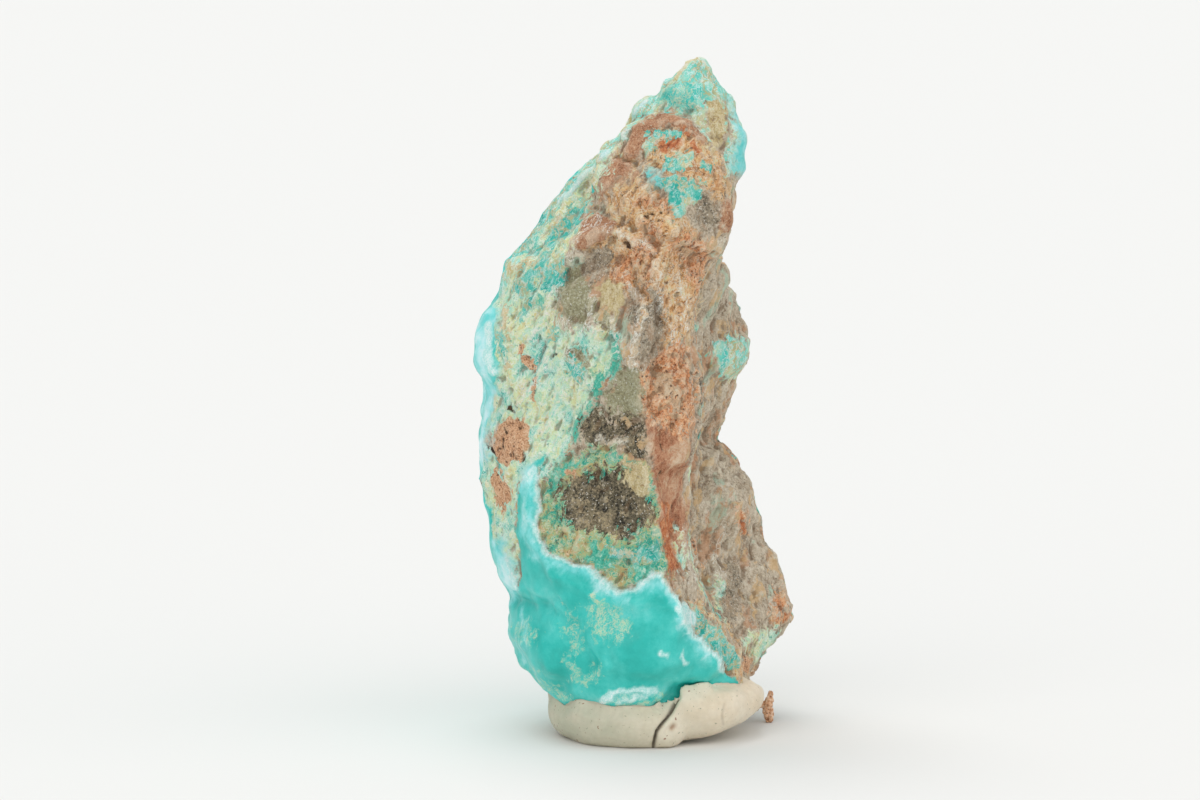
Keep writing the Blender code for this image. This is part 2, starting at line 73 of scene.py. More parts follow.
to_viewer = Vector((0.0, -math.cos(VIEW_DOWN), math.sin(VIEW_DOWN)))
upwards = Vector((0.0, math.sin(VIEW_DOWN), math.cos(VIEW_DOWN)))
camera = bpy.data.objects.new("camera", bpy.data.cameras.new("camera"))
bpy.context.scene.collection.objects.link(camera)
camera.data.lens, camera.data.sensor_width = LENS, SENSOR
camera.location = VIEW_TARGET + to_viewer * VIEW_DISTANCE
camera.rotation_mode = "QUATERNION"
camera.rotation_quaternion = (-to_viewer).to_track_quat("-Z", "Y")
bpy.context.scene.camera = camera
print("camera at", [round(c, 4) for c in camera.location])

# %% [markdown]
# ## Floor and light
#
# The stage is a plain white floor. Nearly half of its light is even light from all round, which keeps the
# shadows pale. The rest comes from wide suns: one nearly overhead, which draws the soft shadow close under
# the putty, and two from the front, which light the face of the stone. A sun doesn't weaken with distance, so
# the floor stays even out to its edge, and it is so large that the camera sees nothing behind it.

# %% Floor and light
FLOOR_SIZE = 6.0
FLOOR_WHITE = (0.80, 0.803, 0.788)
EVEN_LIGHT = (0.53, 0.53, 0.53)
SUNS = {
    "overhead": (Vector((-0.18, 0.32, 1.0)), 1.21, 42.0),
    "front_left": (Vector((-0.35, -0.95, 0.8)), 0.82, 60.0),
    "front_right": (Vector((0.95, -0.60, 0.7)), 0.60, 70.0),
}


def flat_square(name, size):
    """A square of that size on the ground."""
    shape = bmesh.new()
    bmesh.ops.create_grid(shape, x_segments=1, y_segments=1, size=size / 2)
    mesh = bpy.data.meshes.new(name)
    shape.to_mesh(mesh)
    shape.free()
    piece = bpy.data.objects.new(name, mesh)
    bpy.context.scene.collection.objects.link(piece)
    return piece


floor = flat_square("floor", FLOOR_SIZE)
floor_finish = bpy.data.materials.new("white_floor")
floor_finish.use_nodes = True
floor_shader = floor_finish.node_tree.nodes["Principled BSDF"]
floor_shader.inputs["Base Color"].default_value = (*FLOOR_WHITE, 1.0)
floor_shader.inputs["Roughness"].default_value = 1.0
floor_shader.inputs["Specular IOR Level"].default_value = 0.0
floor.data.materials.append(floor_finish)

world = bpy.data.worlds.new("white_surroundings")
world.use_nodes = True
sky = world.node_tree
sky.nodes["Background"].inputs["Color"].default_value = (*EVEN_LIGHT, 1.0)
bpy.context.scene.world = world
for name, (direction, strength, spread) in SUNS.items():
    sun = bpy.data.objects.new(name, bpy.data.lights.new(name, "SUN"))
    sun.data.energy, sun.data.angle = strength, math.radians(spread)
    sun.rotation_mode = "QUATERNION"
    sun.rotation_quaternion = direction.to_track_quat("Z", "Y")
    bpy.context.scene.collection.objects.link(sun)
bpy.context.scene.view_settings.view_transform = "Standard"
print("suns:", ", ".join(SUNS))

# %% [markdown]
# ## The face map
#
# The front of the stone is a patchwork of minerals, and each patch has its own place. To say where that is,
# this lesson uses a map of the face as a person in front of it sees it: how far across and how high a point
# looks, in millimetres. A point is thrown along the viewer's line of sight onto an upright sheet through the
# middle of the stone. The map is only a way of writing places down: what is found with it is kept on the mesh
# itself, so it stays where it is when the stone is seen from another side.

# %% The face map
def face_map(points):
    """(across, height) in millimetres of points that are given in millimetres."""
    from_viewer = points - np.array(VIEW_TARGET + to_viewer * VIEW_DISTANCE) / MM
    distance = -from_viewer @ np.array(to_viewer)
    larger = VIEW_DISTANCE / MM / distance
    across = VIEW_TARGET.x / MM + from_viewer[:, 0] * larger
    height = VIEW_TARGET.z / MM * math.cos(VIEW_DOWN) + (from_viewer @ np.array(upwards)) * larger
    return np.stack([across, height], axis=1)


def to_path(places, path):
    """How far each place, a pair of numbers, is from a path of straight runs."""
    nearest = np.full(len(places), np.inf)
    for start, end in zip(np.array(path[:-1], float), np.array(path[1:], float)):
        way = end - start
        share = np.clip((places - start) @ way / (way @ way), 0.0, 1.0)
        nearest = np.minimum(nearest, np.linalg.norm(places - start - share[:, None] * way, axis=1))
    return nearest


def inside(places, outline):
    """Whether each place lies within a closed outline."""
    found = np.zeros(len(places), bool)
    for (x0, y0), (x1, y1) in zip(outline, outline[1:] + outline[:1]):
        if y0 != y1:
            crosses = (y0 > places[:, 1]) != (y1 > places[:, 1])
            found ^= crosses & (places[:, 0] < (x1 - x0) * (places[:, 1] - y0) / (y1 - y0) + x0)
    return found


def depth_in(places, outline):
    """How deep each place lies inside an outline, and below 0 how far outside it."""
    away = to_path(places, outline + outline[:1])
    return np.where(inside(places, outline), away, -away)


def smooth_step(low, high, value):
    """0 below low, 1 above high, and an even slope between them. low may be above high."""
    share = np.clip((value - low) / (high - low), 0.0, 1.0)
    return share * share * (3.0 - 2.0 * share)


foot_on_map = face_map(np.zeros((1, 3)))[0]
print("the middle of the putty's foot is at", foot_on_map.round(2).tolist(), "on the map")

# %% [markdown]
# ## Where the minerals lie
#
# Each finish has its patches. A texture that places them by chance would look like some stone, but not like
# this one, so the large ones are drawn as outlines on the face map. First comes the matrix: brown
# plates, orange ridges of broken rock, a red-brown wall in the cleft, and flat mauve plates.

# %% Brown, orange and mauve matrix
PATCHES = {
    "tan": [
        [(-5.5, 53.6), (-4.1, 54.6), (-2.5, 55.6), (-0.9, 56.0), (-0.5, 55.0), (1.1, 54.0), (2.5, 52.4),
         (3.5, 51.1), (3.5, 50.0), (1.5, 50.0), (0.5, 51.2), (-1.5, 51.4), (-3.1, 52.2), (-4.9, 52.6)],
        [(0.4, 61.0), (2.4, 61.2), (3.9, 60.2), (5.0, 59.6), (6.1, 58.6), (7.1, 56.6), (7.5, 54.6),
         (6.7, 53.6), (5.7, 54.0), (4.5, 54.6), (2.5, 55.6), (0.5, 55.6), (-0.9, 57.0), (-1.0, 58.9),
         (-0.3, 60.2)],
        [(-5.5, 50.6), (-3.7, 52.1), (-1.5, 53.1), (0.0, 53.8), (1.7, 53.1), (3.5, 52.1), (4.5, 49.6),
         (4.8, 46.1), (4.2, 42.6), (3.5, 40.1), (1.7, 39.1), (0.2, 38.8), (-1.5, 40.6), (-2.7, 43.6),
         (-3.9, 44.6), (-4.9, 45.1), (-5.9, 46.6), (-6.5, 48.6)],
        [(2.9, 13.6), (4.4, 13.0), (6.1, 11.6), (7.9, 9.6), (9.1, 7.4), (8.7, 5.6), (7.3, 6.6), (5.1, 8.8),
         (3.8, 10.6)],
    ],
    "orange": [
        [(1.7, 49.8), (3.5, 50.2), (5.3, 49.6), (5.7, 48.0), (4.9, 46.2), (4.1, 44.6), (3.5, 45.6),
         (2.7, 47.4), (1.5, 48.4)],
        [(-1.6, 37.4), (0.0, 38.2), (1.7, 39.0), (2.9, 39.8), (3.5, 38.4), (4.1, 36.4), (4.4, 33.8),
         (4.1, 31.6), (3.5, 29.8), (2.1, 30.2), (0.5, 31.0), (-0.9, 32.2), (-1.7, 34.0), (-2.1, 35.6)],
        [(-1.5, 51.0), (-0.1, 51.4), (0.9, 50.4), (0.5, 48.6), (-0.7, 47.4), (-1.7, 48.6)],
        [(-4.9, 46.0), (-3.9, 47.2), (-2.5, 47.4), (-2.1, 46.0), (-2.5, 44.6), (-3.9, 44.8)],
        [(-1.9, 53.0), (-0.9, 54.0), (0.3, 54.4), (1.7, 54.0), (2.5, 53.0), (1.3, 52.6), (-0.5, 52.8)],
        [(8.4, 22.6), (9.2, 22.2), (9.3, 20.4), (8.6, 20.2)],
        [(3.7, 19.6), (4.4, 19.2), (4.5, 17.2), (3.8, 17.4)],
        [(11.8, 14.4), (13.2, 14.6), (13.8, 11.6), (12.6, 10.8), (12.0, 12.4)],
    ],
    "red": [
        [(-1.2, 33.1), (0.0, 31.8), (1.7, 30.8), (3.7, 30.6), (3.6, 27.8), (2.9, 25.4), (3.0, 23.1),
         (3.3, 20.6), (3.0, 18.2), (2.5, 16.2), (1.4, 15.8), (0.7, 18.4), (0.2, 21.6), (-0.3, 24.6),
         (-0.6, 27.4), (-1.0, 30.1)],
    ],
    "mauve": [
        [(-3.2, 58.1), (-2.9, 59.6), (-2.2, 61.0), (-0.5, 61.9), (1.6, 62.6), (2.9, 61.7), (4.0, 60.7),
         (5.1, 59.8), (5.4, 59.2), (3.9, 60.1), (2.5, 61.2), (1.3, 61.3), (0.3, 60.9), (-0.5, 59.9),
         (-1.1, 58.8), (-1.5, 57.9), (-2.5, 57.8)],
        [(-5.7, 56.0), (-5.3, 56.6), (-4.3, 57.4), (-3.3, 57.8), (-2.1, 57.3), (-1.9, 56.8), (-2.5, 56.4),
         (-3.5, 55.8), (-4.7, 54.6), (-5.2, 53.8), (-5.5, 54.6)],
        [(-6.7, 52.2), (-4.7, 52.2), (-3.7, 51.4), (-4.5, 50.0), (-5.9, 49.2), (-7.1, 48.4), (-7.8, 48.6),
         (-7.7, 50.4)],
        [(-7.2, 53.0), (-6.7, 54.4), (-6.1, 54.6), (-6.3, 53.4), (-6.9, 52.8)],
        [(-10.7, 47.4), (-10.3, 48.4), (-8.9, 49.0), (-8.7, 48.4), (-9.7, 47.6)],
        [(6.7, 54.0), (7.6, 53.6), (7.8, 51.6), (7.3, 50.4), (6.5, 50.8), (6.6, 52.6)],
    ],
}
print("patches of matrix:", {finish: len(outlines) for finish, outlines in PATCHES.items()})

# %% [markdown]
# ### Skin and lenses
#
# A thin sage-green skin has grown over most of the left of the face, mossier and darker where it meets the
# crust. In it and in the matrix lie lenses of fine grains, each of one colour: olive, nearly black, ash grey
# and buff. They are drawn in the same way, and the later ones will cover the earlier.

# %% Green skin
PATCHES.update({
    "sage": [
        [(-2.7, 60.8), (-4.9, 56.8), (-5.8, 54.6), (-7.1, 52.8), (-7.9, 49.6), (-8.9, 48.0), (-9.5, 45.2),
         (-9.9, 42.4), (-8.5, 40.6), (-6.5, 40.6), (-5.5, 41.8), (-4.7, 42.2), (-3.7, 40.0), (-3.6, 36.6),
         (-5.2, 35.1), (-5.9, 33.2), (-7.1, 32.0), (-7.7, 30.4), (-8.1, 28.6), (-9.5, 27.4), (-10.7, 25.8),
         (-11.4, 23.6), (-12.1, 26.6), (-13.1, 25.6), (-13.8, 24.1), (-13.8, 14.6), (-14.7, 13.6),
         (-18.5, 14.6), (-18.5, 45.6), (-12.5, 53.6), (-5.5, 60.6)],
        [(-4.6, 29.0), (-3.8, 29.2), (-3.2, 28.2), (-2.6, 27.4), (-4.0, 27.0), (-5.2, 27.6)],
        [(9.5, 9.6), (11.5, 10.8), (13.0, 10.6), (12.5, 8.6), (11.0, 7.1), (9.7, 7.4)],
        [(1.9, 21.0), (2.5, 20.0), (3.1, 17.8), (2.7, 16.4), (2.3, 18.4)],
        [(6.0, 15.6), (7.0, 15.0), (7.2, 12.4), (6.6, 11.4), (6.1, 13.2)],
    ],
    "mossy": [
        [(-11.2, 24.9), (-10.5, 26.6), (-8.9, 27.6), (-7.3, 28.0), (-6.7, 29.6), (-5.3, 29.4), (-3.9, 28.6),
         (-2.5, 28.0), (-0.7, 27.4), (0.0, 25.6), (0.4, 22.4), (1.0, 19.1), (1.5, 16.6), (0.7, 15.8),
         (-0.5, 16.2), (-1.9, 14.8), (-3.5, 14.8), (-5.1, 15.6), (-7.0, 16.8), (-8.9, 17.8), (-10.4, 18.2),
         (-11.4, 19.6), (-11.8, 21.6)],
    ],
})
print("patches of skin:", len(PATCHES["sage"]), "sage and", len(PATCHES["mossy"]), "mossy")

# %% Lenses of fine grains
PATCHES.update({
    "olive": [
        [(-9.5, 44.6), (-9.6, 43.0), (-9.3, 41.8), (-8.5, 41.0), (-7.9, 41.2), (-7.2, 40.9), (-6.7, 41.8),
         (-6.3, 42.2), (-5.9, 43.2), (-6.3, 44.2), (-6.0, 44.9), (-6.8, 45.4), (-7.0, 46.6), (-7.6, 47.4),
         (-8.5, 47.2), (-8.6, 46.0), (-9.2, 45.6)],
        [(-5.6, 42.6), (-5.0, 42.4), (-4.2, 41.4), (-4.3, 40.4), (-5.0, 40.5), (-5.6, 41.4)],
        [(-8.6, 38.7), (-7.7, 39.0), (-6.5, 38.1), (-6.3, 37.0), (-7.0, 36.0), (-7.8, 37.0), (-8.6, 37.9)],
        [(-5.1, 34.4), (-4.3, 35.8), (-3.3, 36.6), (-2.1, 36.4), (-1.5, 34.4), (-1.3, 32.4), (-2.7, 31.6),
         (-4.3, 32.2), (-5.1, 33.2)],
    ],
    "dark": [
        [(-9.5, 25.6), (-8.3, 25.9), (-6.8, 26.2), (-5.8, 26.6), (-4.0, 26.8), (-1.5, 26.9), (-0.8, 26.4),
         (-0.5, 25.4), (-0.3, 23.4), (0.0, 22.4), (-0.3, 21.8), (-1.3, 20.6), (-2.5, 20.1), (-3.5, 19.8),
         (-5.0, 19.9), (-6.3, 20.4), (-7.5, 21.1), (-8.8, 20.9), (-9.3, 21.6), (-9.6, 23.1)],
        [(-7.4, 30.8), (-7.1, 31.9), (-6.2, 32.5), (-5.0, 32.4), (-4.1, 31.8), (-3.9, 30.4), (-4.5, 29.2),
         (-5.7, 28.9), (-6.9, 29.5)],
        [(-4.1, 31.2), (-3.1, 31.8), (-1.7, 31.2), (-1.0, 30.0), (-0.9, 28.4), (-1.9, 27.8), (-2.9, 28.4),
         (-3.9, 29.6)],
    ],
    "ashen": [
        [(-2.7, 44.8), (-1.9, 45.2), (-1.3, 44.4), (-1.3, 42.6), (-1.7, 41.2), (-2.5, 41.0), (-3.1, 42.4)],
        [(-0.5, 45.0), (0.5, 44.4), (1.3, 42.6), (1.1, 40.4), (0.5, 38.0), (-0.3, 37.0), (-1.5, 37.2),
         (-2.1, 38.0), (-1.9, 39.6), (-1.3, 41.2), (-0.7, 43.2)],
        [(3.7, 53.6), (4.5, 54.6), (5.3, 54.4), (6.3, 53.2), (6.5, 51.8), (5.9, 50.6), (4.5, 50.4),
         (3.7, 51.6)],
        [(7.1, 17.0), (8.3, 17.4), (8.9, 15.6), (8.5, 13.0), (7.5, 11.6), (6.9, 13.6)],
        [(-6.9, 48.0), (-5.5, 49.0), (-4.3, 48.4), (-3.9, 46.8), (-5.1, 45.6), (-6.5, 45.4), (-7.1, 46.6)],
    ],
    "buff": [
        [(4.8, 63.9), (6.2, 64.2), (7.2, 63.6), (7.3, 61.1), (6.9, 59.1), (6.0, 58.6), (5.5, 60.1),
         (4.8, 62.1)],
        [(-5.9, 45.0), (-4.9, 45.6), (-3.6, 45.2), (-2.9, 44.4), (-3.2, 43.2), (-3.7, 42.6), (-4.0, 41.4),
         (-4.6, 42.4), (-5.7, 43.4)],
        [(-2.9, 27.8), (-1.5, 27.4), (-0.5, 26.4), (-0.3, 24.0), (-1.3, 23.6), (-2.5, 24.6), (-3.1, 26.2)],
    ],
})
print("lenses:", sum(len(PATCHES[finish]) for finish in ("olive", "dark", "ashen", "buff")))

# %% Rusty spots and deep green stains
PATCHES.update({
    "rust": [
        [(-16.7, 29.7), (-15.8, 31.0), (-14.5, 31.8), (-13.0, 31.7), (-12.5, 30.6), (-12.6, 29.5),
         (-12.8, 28.7), (-13.5, 27.7), (-14.1, 27.9), (-14.5, 27.3), (-14.9, 27.0), (-15.7, 27.4),
         (-15.9, 28.1), (-16.5, 28.5)],
        [(-16.1, 26.9), (-15.4, 26.7), (-15.1, 25.7), (-14.6, 24.9), (-14.5, 23.7), (-15.1, 23.0),
         (-15.4, 21.9), (-15.9, 23.5), (-16.2, 25.5)],
        [(-13.9, 39.3), (-13.4, 39.4), (-13.1, 38.4), (-12.3, 38.0), (-11.9, 37.0), (-12.5, 36.5),
         (-13.3, 37.2), (-13.9, 37.8)],
        [(-9.2, 26.5), (-8.6, 26.7), (-8.1, 26.2), (-8.5, 25.8), (-9.1, 25.9)],
        [(9.0, 7.9), (9.9, 7.6), (9.8, 6.2), (9.0, 6.2)],
    ],
    "ember": [
        [(0.6, 58.6), (0.5, 59.6), (1.4, 60.1), (2.5, 59.9), (2.4, 59.0), (1.3, 58.4)],
        [(0.6, 21.0), (1.3, 21.4), (1.9, 19.0), (2.4, 16.8), (1.5, 16.4), (0.9, 18.6)],
    ],
    "emerald": [
        [(-4.1, 40.1), (-3.5, 38.4), (-3.5, 36.6), (-4.7, 36.0), (-5.3, 35.2), (-5.1, 34.2), (-5.7, 33.2),
         (-6.5, 32.4), (-7.1, 31.2), (-7.7, 29.6), (-8.5, 29.0), (-8.3, 30.6), (-7.5, 32.2), (-6.5, 33.8),
         (-6.7, 35.0), (-6.1, 36.2), (-4.9, 36.6), (-4.3, 37.6)],
        [(-10.5, 25.8), (-9.9, 27.0), (-8.5, 27.6), (-7.5, 27.2), (-8.3, 26.6), (-9.3, 26.2), (-9.7, 25.0),
         (-10.3, 24.6)],
        [(-7.2, 17.8), (-6.1, 19.0), (-4.5, 18.6), (-4.4, 17.0), (-6.3, 16.4)],
        [(-2.7, 16.1), (-1.5, 17.0), (0.1, 17.4), (-0.5, 16.2), (-1.9, 15.0)],
    ],
})
print("small stains:", sum(len(PATCHES[finish]) for finish in ("rust", "ember", "emerald")))

# %% [markdown]
# ### The crust
#
# The turquoise crust wraps the foot and the left edge of the stone, and it ends in a white band, its youngest
# growth. Both follow one line, so the line is written down once and the patch of the crust is made from it.
# Teal stains, the blue-green tip and a film of pale lines on the crust complete it.

# %% Crust and the white band along its edge
WHITE_BAND = [
    (-11.8, 25.9), (-11.8, 23.9), (-11.7, 20.4), (-11.2, 18.7), (-10.3, 17.7), (-8.8, 17.5), (-7.0, 16.6),
    (-5.0, 15.4), (-3.5, 14.5), (-2.0, 14.5), (-0.5, 15.9), (0.5, 16.1), (1.2, 15.1), (2.2, 13.6),
    (3.1, 11.9), (3.8, 10.0), (5.1, 8.6), (6.3, 7.5), (6.8, 6.4),
]
PATCHES["crust"] = [
    WHITE_BAND[::-1] + [
        (-11.4, 28.2), (-12.3, 27.4), (-13.1, 25.8), (-13.8, 24.4), (-13.9, 21.6), (-13.8, 18.1),
        (-13.8, 14.6), (-14.6, 13.9), (-15.5, 9.6), (-15.5, 1.6), (10.5, 1.6), (9.0, 4.6), (7.7, 6.0),
    ],
    [(-18.5, 43.6), (-16.3, 43.3), (-16.0, 41.8), (-15.9, 39.1), (-15.6, 37.0), (-15.8, 35.2), (-15.9, 34.0),
     (-16.3, 32.0), (-16.7, 30.6), (-17.1, 29.1), (-17.5, 26.6), (-18.9, 26.6)],
    [(-17.5, 23.6), (-16.6, 23.1), (-16.2, 20.6), (-15.6, 18.6), (-14.7, 16.4), (-13.8, 14.6), (-14.6, 13.9),
     (-16.5, 13.6), (-17.5, 17.6)],
]
print("the white band has", len(WHITE_BAND), "turns, and the crust", len(PATCHES["crust"]), "patches")

# %% Teal stains, the tip and the film on the crust
PATCHES["teal"] = [
    [(-12.5, 53.1), (-5.5, 59.8), (-3.3, 63.8), (-1.5, 64.6), (-1.5, 62.8), (-2.7, 60.8), (-4.1, 59.0),
     (-5.3, 57.8), (-7.0, 55.6), (-8.9, 53.6), (-10.7, 51.6), (-12.3, 49.6), (-13.7, 47.4), (-15.0, 45.1),
     (-16.0, 45.1)],
    [(-1.2, 59.0), (-0.4, 60.3), (1.2, 61.0), (2.6, 60.6), (2.4, 60.0), (0.6, 60.0), (-0.3, 59.0),
     (-0.7, 57.7)],
    [(0.3, 56.8), (1.2, 57.8), (2.4, 57.9), (3.2, 58.6), (4.0, 58.4), (3.8, 57.0), (2.9, 56.6), (1.4, 56.4)],
    [(-0.8, 56.3), (0.6, 56.0), (2.0, 56.3), (3.2, 56.0), (4.3, 56.0), (4.9, 55.0), (4.4, 53.8), (3.5, 53.0),
     (2.8, 51.7), (2.1, 52.1), (1.7, 53.2), (1.1, 54.2), (0.3, 54.8), (-0.7, 55.4)],
    [(4.8, 57.3), (6.0, 57.1), (5.8, 56.3), (4.8, 56.5)],
    [(-10.9, 50.0), (-9.9, 51.4), (-8.5, 52.8), (-7.1, 53.6), (-6.9, 52.8), (-7.7, 51.6), (-8.9, 50.6),
     (-10.3, 49.6)],
    [(-11.7, 44.4), (-11.3, 46.2), (-10.3, 47.6), (-8.7, 48.0), (-8.9, 46.6), (-9.7, 45.2), (-10.7, 44.0)],
    [(-9.1, 37.6), (-8.1, 38.0), (-7.1, 37.4), (-6.7, 35.6), (-7.5, 35.2), (-8.5, 35.8)],
    [(3.3, 13.2), (4.6, 12.5), (6.0, 11.2), (7.4, 9.8), (8.3, 8.2), (7.8, 6.8), (6.9, 6.9), (5.9, 8.0),
     (4.6, 9.4), (3.9, 10.9)],
    [(-13.9, 44.2), (-13.1, 47.0), (-12.1, 47.2), (-12.3, 44.8), (-13.1, 43.4)],
    [(-4.7, 19.0), (-2.9, 18.6), (-1.1, 19.2), (0.3, 20.2), (0.7, 18.0), (-0.5, 17.2), (-2.3, 17.4),
     (-4.1, 17.8)],
]
PATCHES["aqua"] = [
    [(-3.3, 63.8), (-1.5, 65.1), (1.5, 67.6), (3.5, 69.4), (5.5, 68.9), (8.0, 64.1), (9.5, 62.6), (9.5, 56.6),
     (8.0, 56.0), (7.3, 56.4), (7.4, 62.0), (6.7, 63.6), (5.7, 63.8), (5.0, 62.8), (5.1, 61.2), (5.6, 59.8),
     (5.1, 60.2), (3.5, 61.7), (1.6, 62.7), (-0.5, 62.1), (-1.9, 61.5), (-2.7, 60.8)],
    [(5.5, 38.4), (6.3, 39.8), (7.7, 40.3), (9.2, 39.4), (9.4, 37.0), (8.3, 35.2), (7.0, 35.6), (5.9, 36.8)],
]
PATCHES["veil"] = [
    [(-7.3, 13.2), (-5.7, 13.6), (-3.9, 13.0), (-2.7, 12.0), (-2.5, 10.6), (-3.9, 9.4), (-5.5, 9.8),
     (-6.5, 11.0)],
    [(-14.1, 10.6), (-12.7, 11.4), (-11.9, 10.4), (-12.1, 9.2), (-13.5, 9.4)],
    [(-8.7, 7.4), (-7.5, 6.4), (-5.9, 6.8), (-5.7, 6.0), (-7.1, 5.2), (-8.5, 6.0)],
    [(-13.7, 7.2), (-12.5, 6.8), (-11.0, 5.2), (-9.3, 4.6), (-8.0, 3.6), (-10.7, 3.6), (-12.9, 5.6)],
    [(-0.3, 64.8), (1.5, 65.2), (4.5, 64.6), (4.7, 63.0), (2.5, 62.8), (0.5, 63.4)],
]
print("teal, aqua and veil patches:", [len(PATCHES[finish]) for finish in ("teal", "aqua", "veil")])

# %% [markdown]
# ### Thin things
#
# The white band, its pale fringe, a painted glow of light along the stone's left edge, bundles of fibres,
# cracks and pits are too thin for an outline. Each is a path, with half of its width in millimetres before it.
# A pit is a path that is hardly longer than it is wide.

# %% White and pale bands with a painted glow, and fibres
PATHS = {
    "white": [
        (0.26, WHITE_BAND),
        (0.30, [(-12.0, 26.9), (-12.8, 25.8)]),
        (0.5, [(2.4, 12.8), (3.3, 11.8), (3.7, 10.6)]),
        (0.35, [(-16.6, 41.0), (-16.6, 38.4), (-16.0, 36.6)]),
        (0.32, [(-9.6, 53.5), (-7.6, 55.6), (-5.0, 58.4)]),
        (0.32, [(-3.5, 60.1), (-2.5, 61.8), (-1.1, 63.4)]),
        (0.30, [(-5.6, 3.4), (-4.6, 4.1), (-3.4, 4.6), (-2.0, 4.8), (-0.2, 4.5)]),
        (0.15, [(-3.9, 3.6), (-2.4, 4.1), (-1.2, 4.2)]),
        (0.2, [(-15.0, 17.6), (-14.3, 15.8), (-14.1, 14.6)]),
        (0.25, [(0.3, 8.3), (0.8, 8.1)]),
        (0.25, [(2.6, 8.1), (3.0, 7.7)]),
    ],
    # a pale fringe beside the white band; the wide paths along the stone's left edge are a painted glow of
    # light
    "pale": [
        (1.3, [(-17.0, 42.0), (-17.4, 40.0), (-18.0, 37.2), (-17.0, 34.4)]),
        (0.8, [(-17.0, 33.0), (-17.4, 28.0)]),
        (0.6, [(-12.4, 26.6), (-13.1, 25.0)]),
        (0.35, [(-12.4, 24.4), (-12.5, 20.0), (-11.8, 18.4), (-10.3, 17.2), (-7.2, 16.2), (-5.0, 15.0),
                (-3.3, 14.1)]),
        (0.35, [(-1.3, 14.8), (0.4, 15.4), (1.6, 13.9), (2.6, 12.1), (3.4, 10.3), (4.8, 8.3)]),
        (0.8, [(-15.6, 19.0), (-14.8, 15.6), (-14.6, 13.8)]),
        (0.9, [(8.2, 64.0), (9.2, 60.0), (8.8, 57.0)]),
        (0.3, [(-0.4, 55.6), (0.0, 56.6)]),
        (0.05, [(-13.4, 12.8), (-12.9, 10.0), (-13.2, 7.0)]),
    ],
    "veil": [
        (0.35, [(-4.8, 3.0), (-3.0, 3.5), (-1.0, 3.3), (0.4, 3.7)]),
        (0.3, [(-8.6, 12.6), (-8.0, 10.6), (-8.4, 8.4)]),
    ],
    "vein": [
        (0.45, [(-9.4, 41.6), (-8.2, 40.6), (-7.0, 40.6), (-6.2, 41.8)]),
        (0.40, [(-6.2, 44.4), (-6.7, 42.8), (-6.4, 41.2), (-5.8, 40.4)]),
        (0.50, [(-1.2, 42.6), (-1.9, 40.6), (-2.1, 38.6), (-2.3, 37.2)]),
        (0.35, [(-2.9, 46.4), (-2.2, 44.4), (-1.4, 42.8)]),
        (0.40, [(-0.2, 47.6), (0.2, 45.2), (1.2, 42.4), (2.0, 39.8)]),
        (0.40, [(2.2, 46.4), (2.8, 43.6), (3.2, 41.0)]),
        (0.40, [(-4.5, 41.4), (-3.8, 39.8), (-4.1, 37.8)]),
        (0.45, [(-8.6, 38.4), (-7.8, 36.8), (-6.8, 34.8)]),
        (0.35, [(-12.4, 39.6), (-10.8, 42.4), (-9.8, 44.8)]),
        (0.35, [(-13.4, 33.2), (-11.8, 36.0), (-10.6, 38.4)]),
        (0.35, [(-11.2, 30.4), (-9.8, 33.0), (-8.8, 35.2)]),
        (0.30, [(-5.6, 30.0), (-4.6, 29.4), (-3.0, 29.4)]),
        (0.45, [(-0.4, 48.6), (-2.2, 49.6), (-4.0, 50.6), (-5.8, 51.8)]),
        (0.35, [(-8.6, 47.4), (-7.4, 49.8), (-6.4, 52.0)]),
        (0.35, [(2.9, 20.8), (3.2, 17.8), (3.6, 15.6)]),
        (0.35, [(6.4, 14.6), (6.2, 17.6), (6.6, 20.4)]),
    ],
}
print("bands and fibres:", {finish: len(paths) for finish, paths in PATHS.items()})

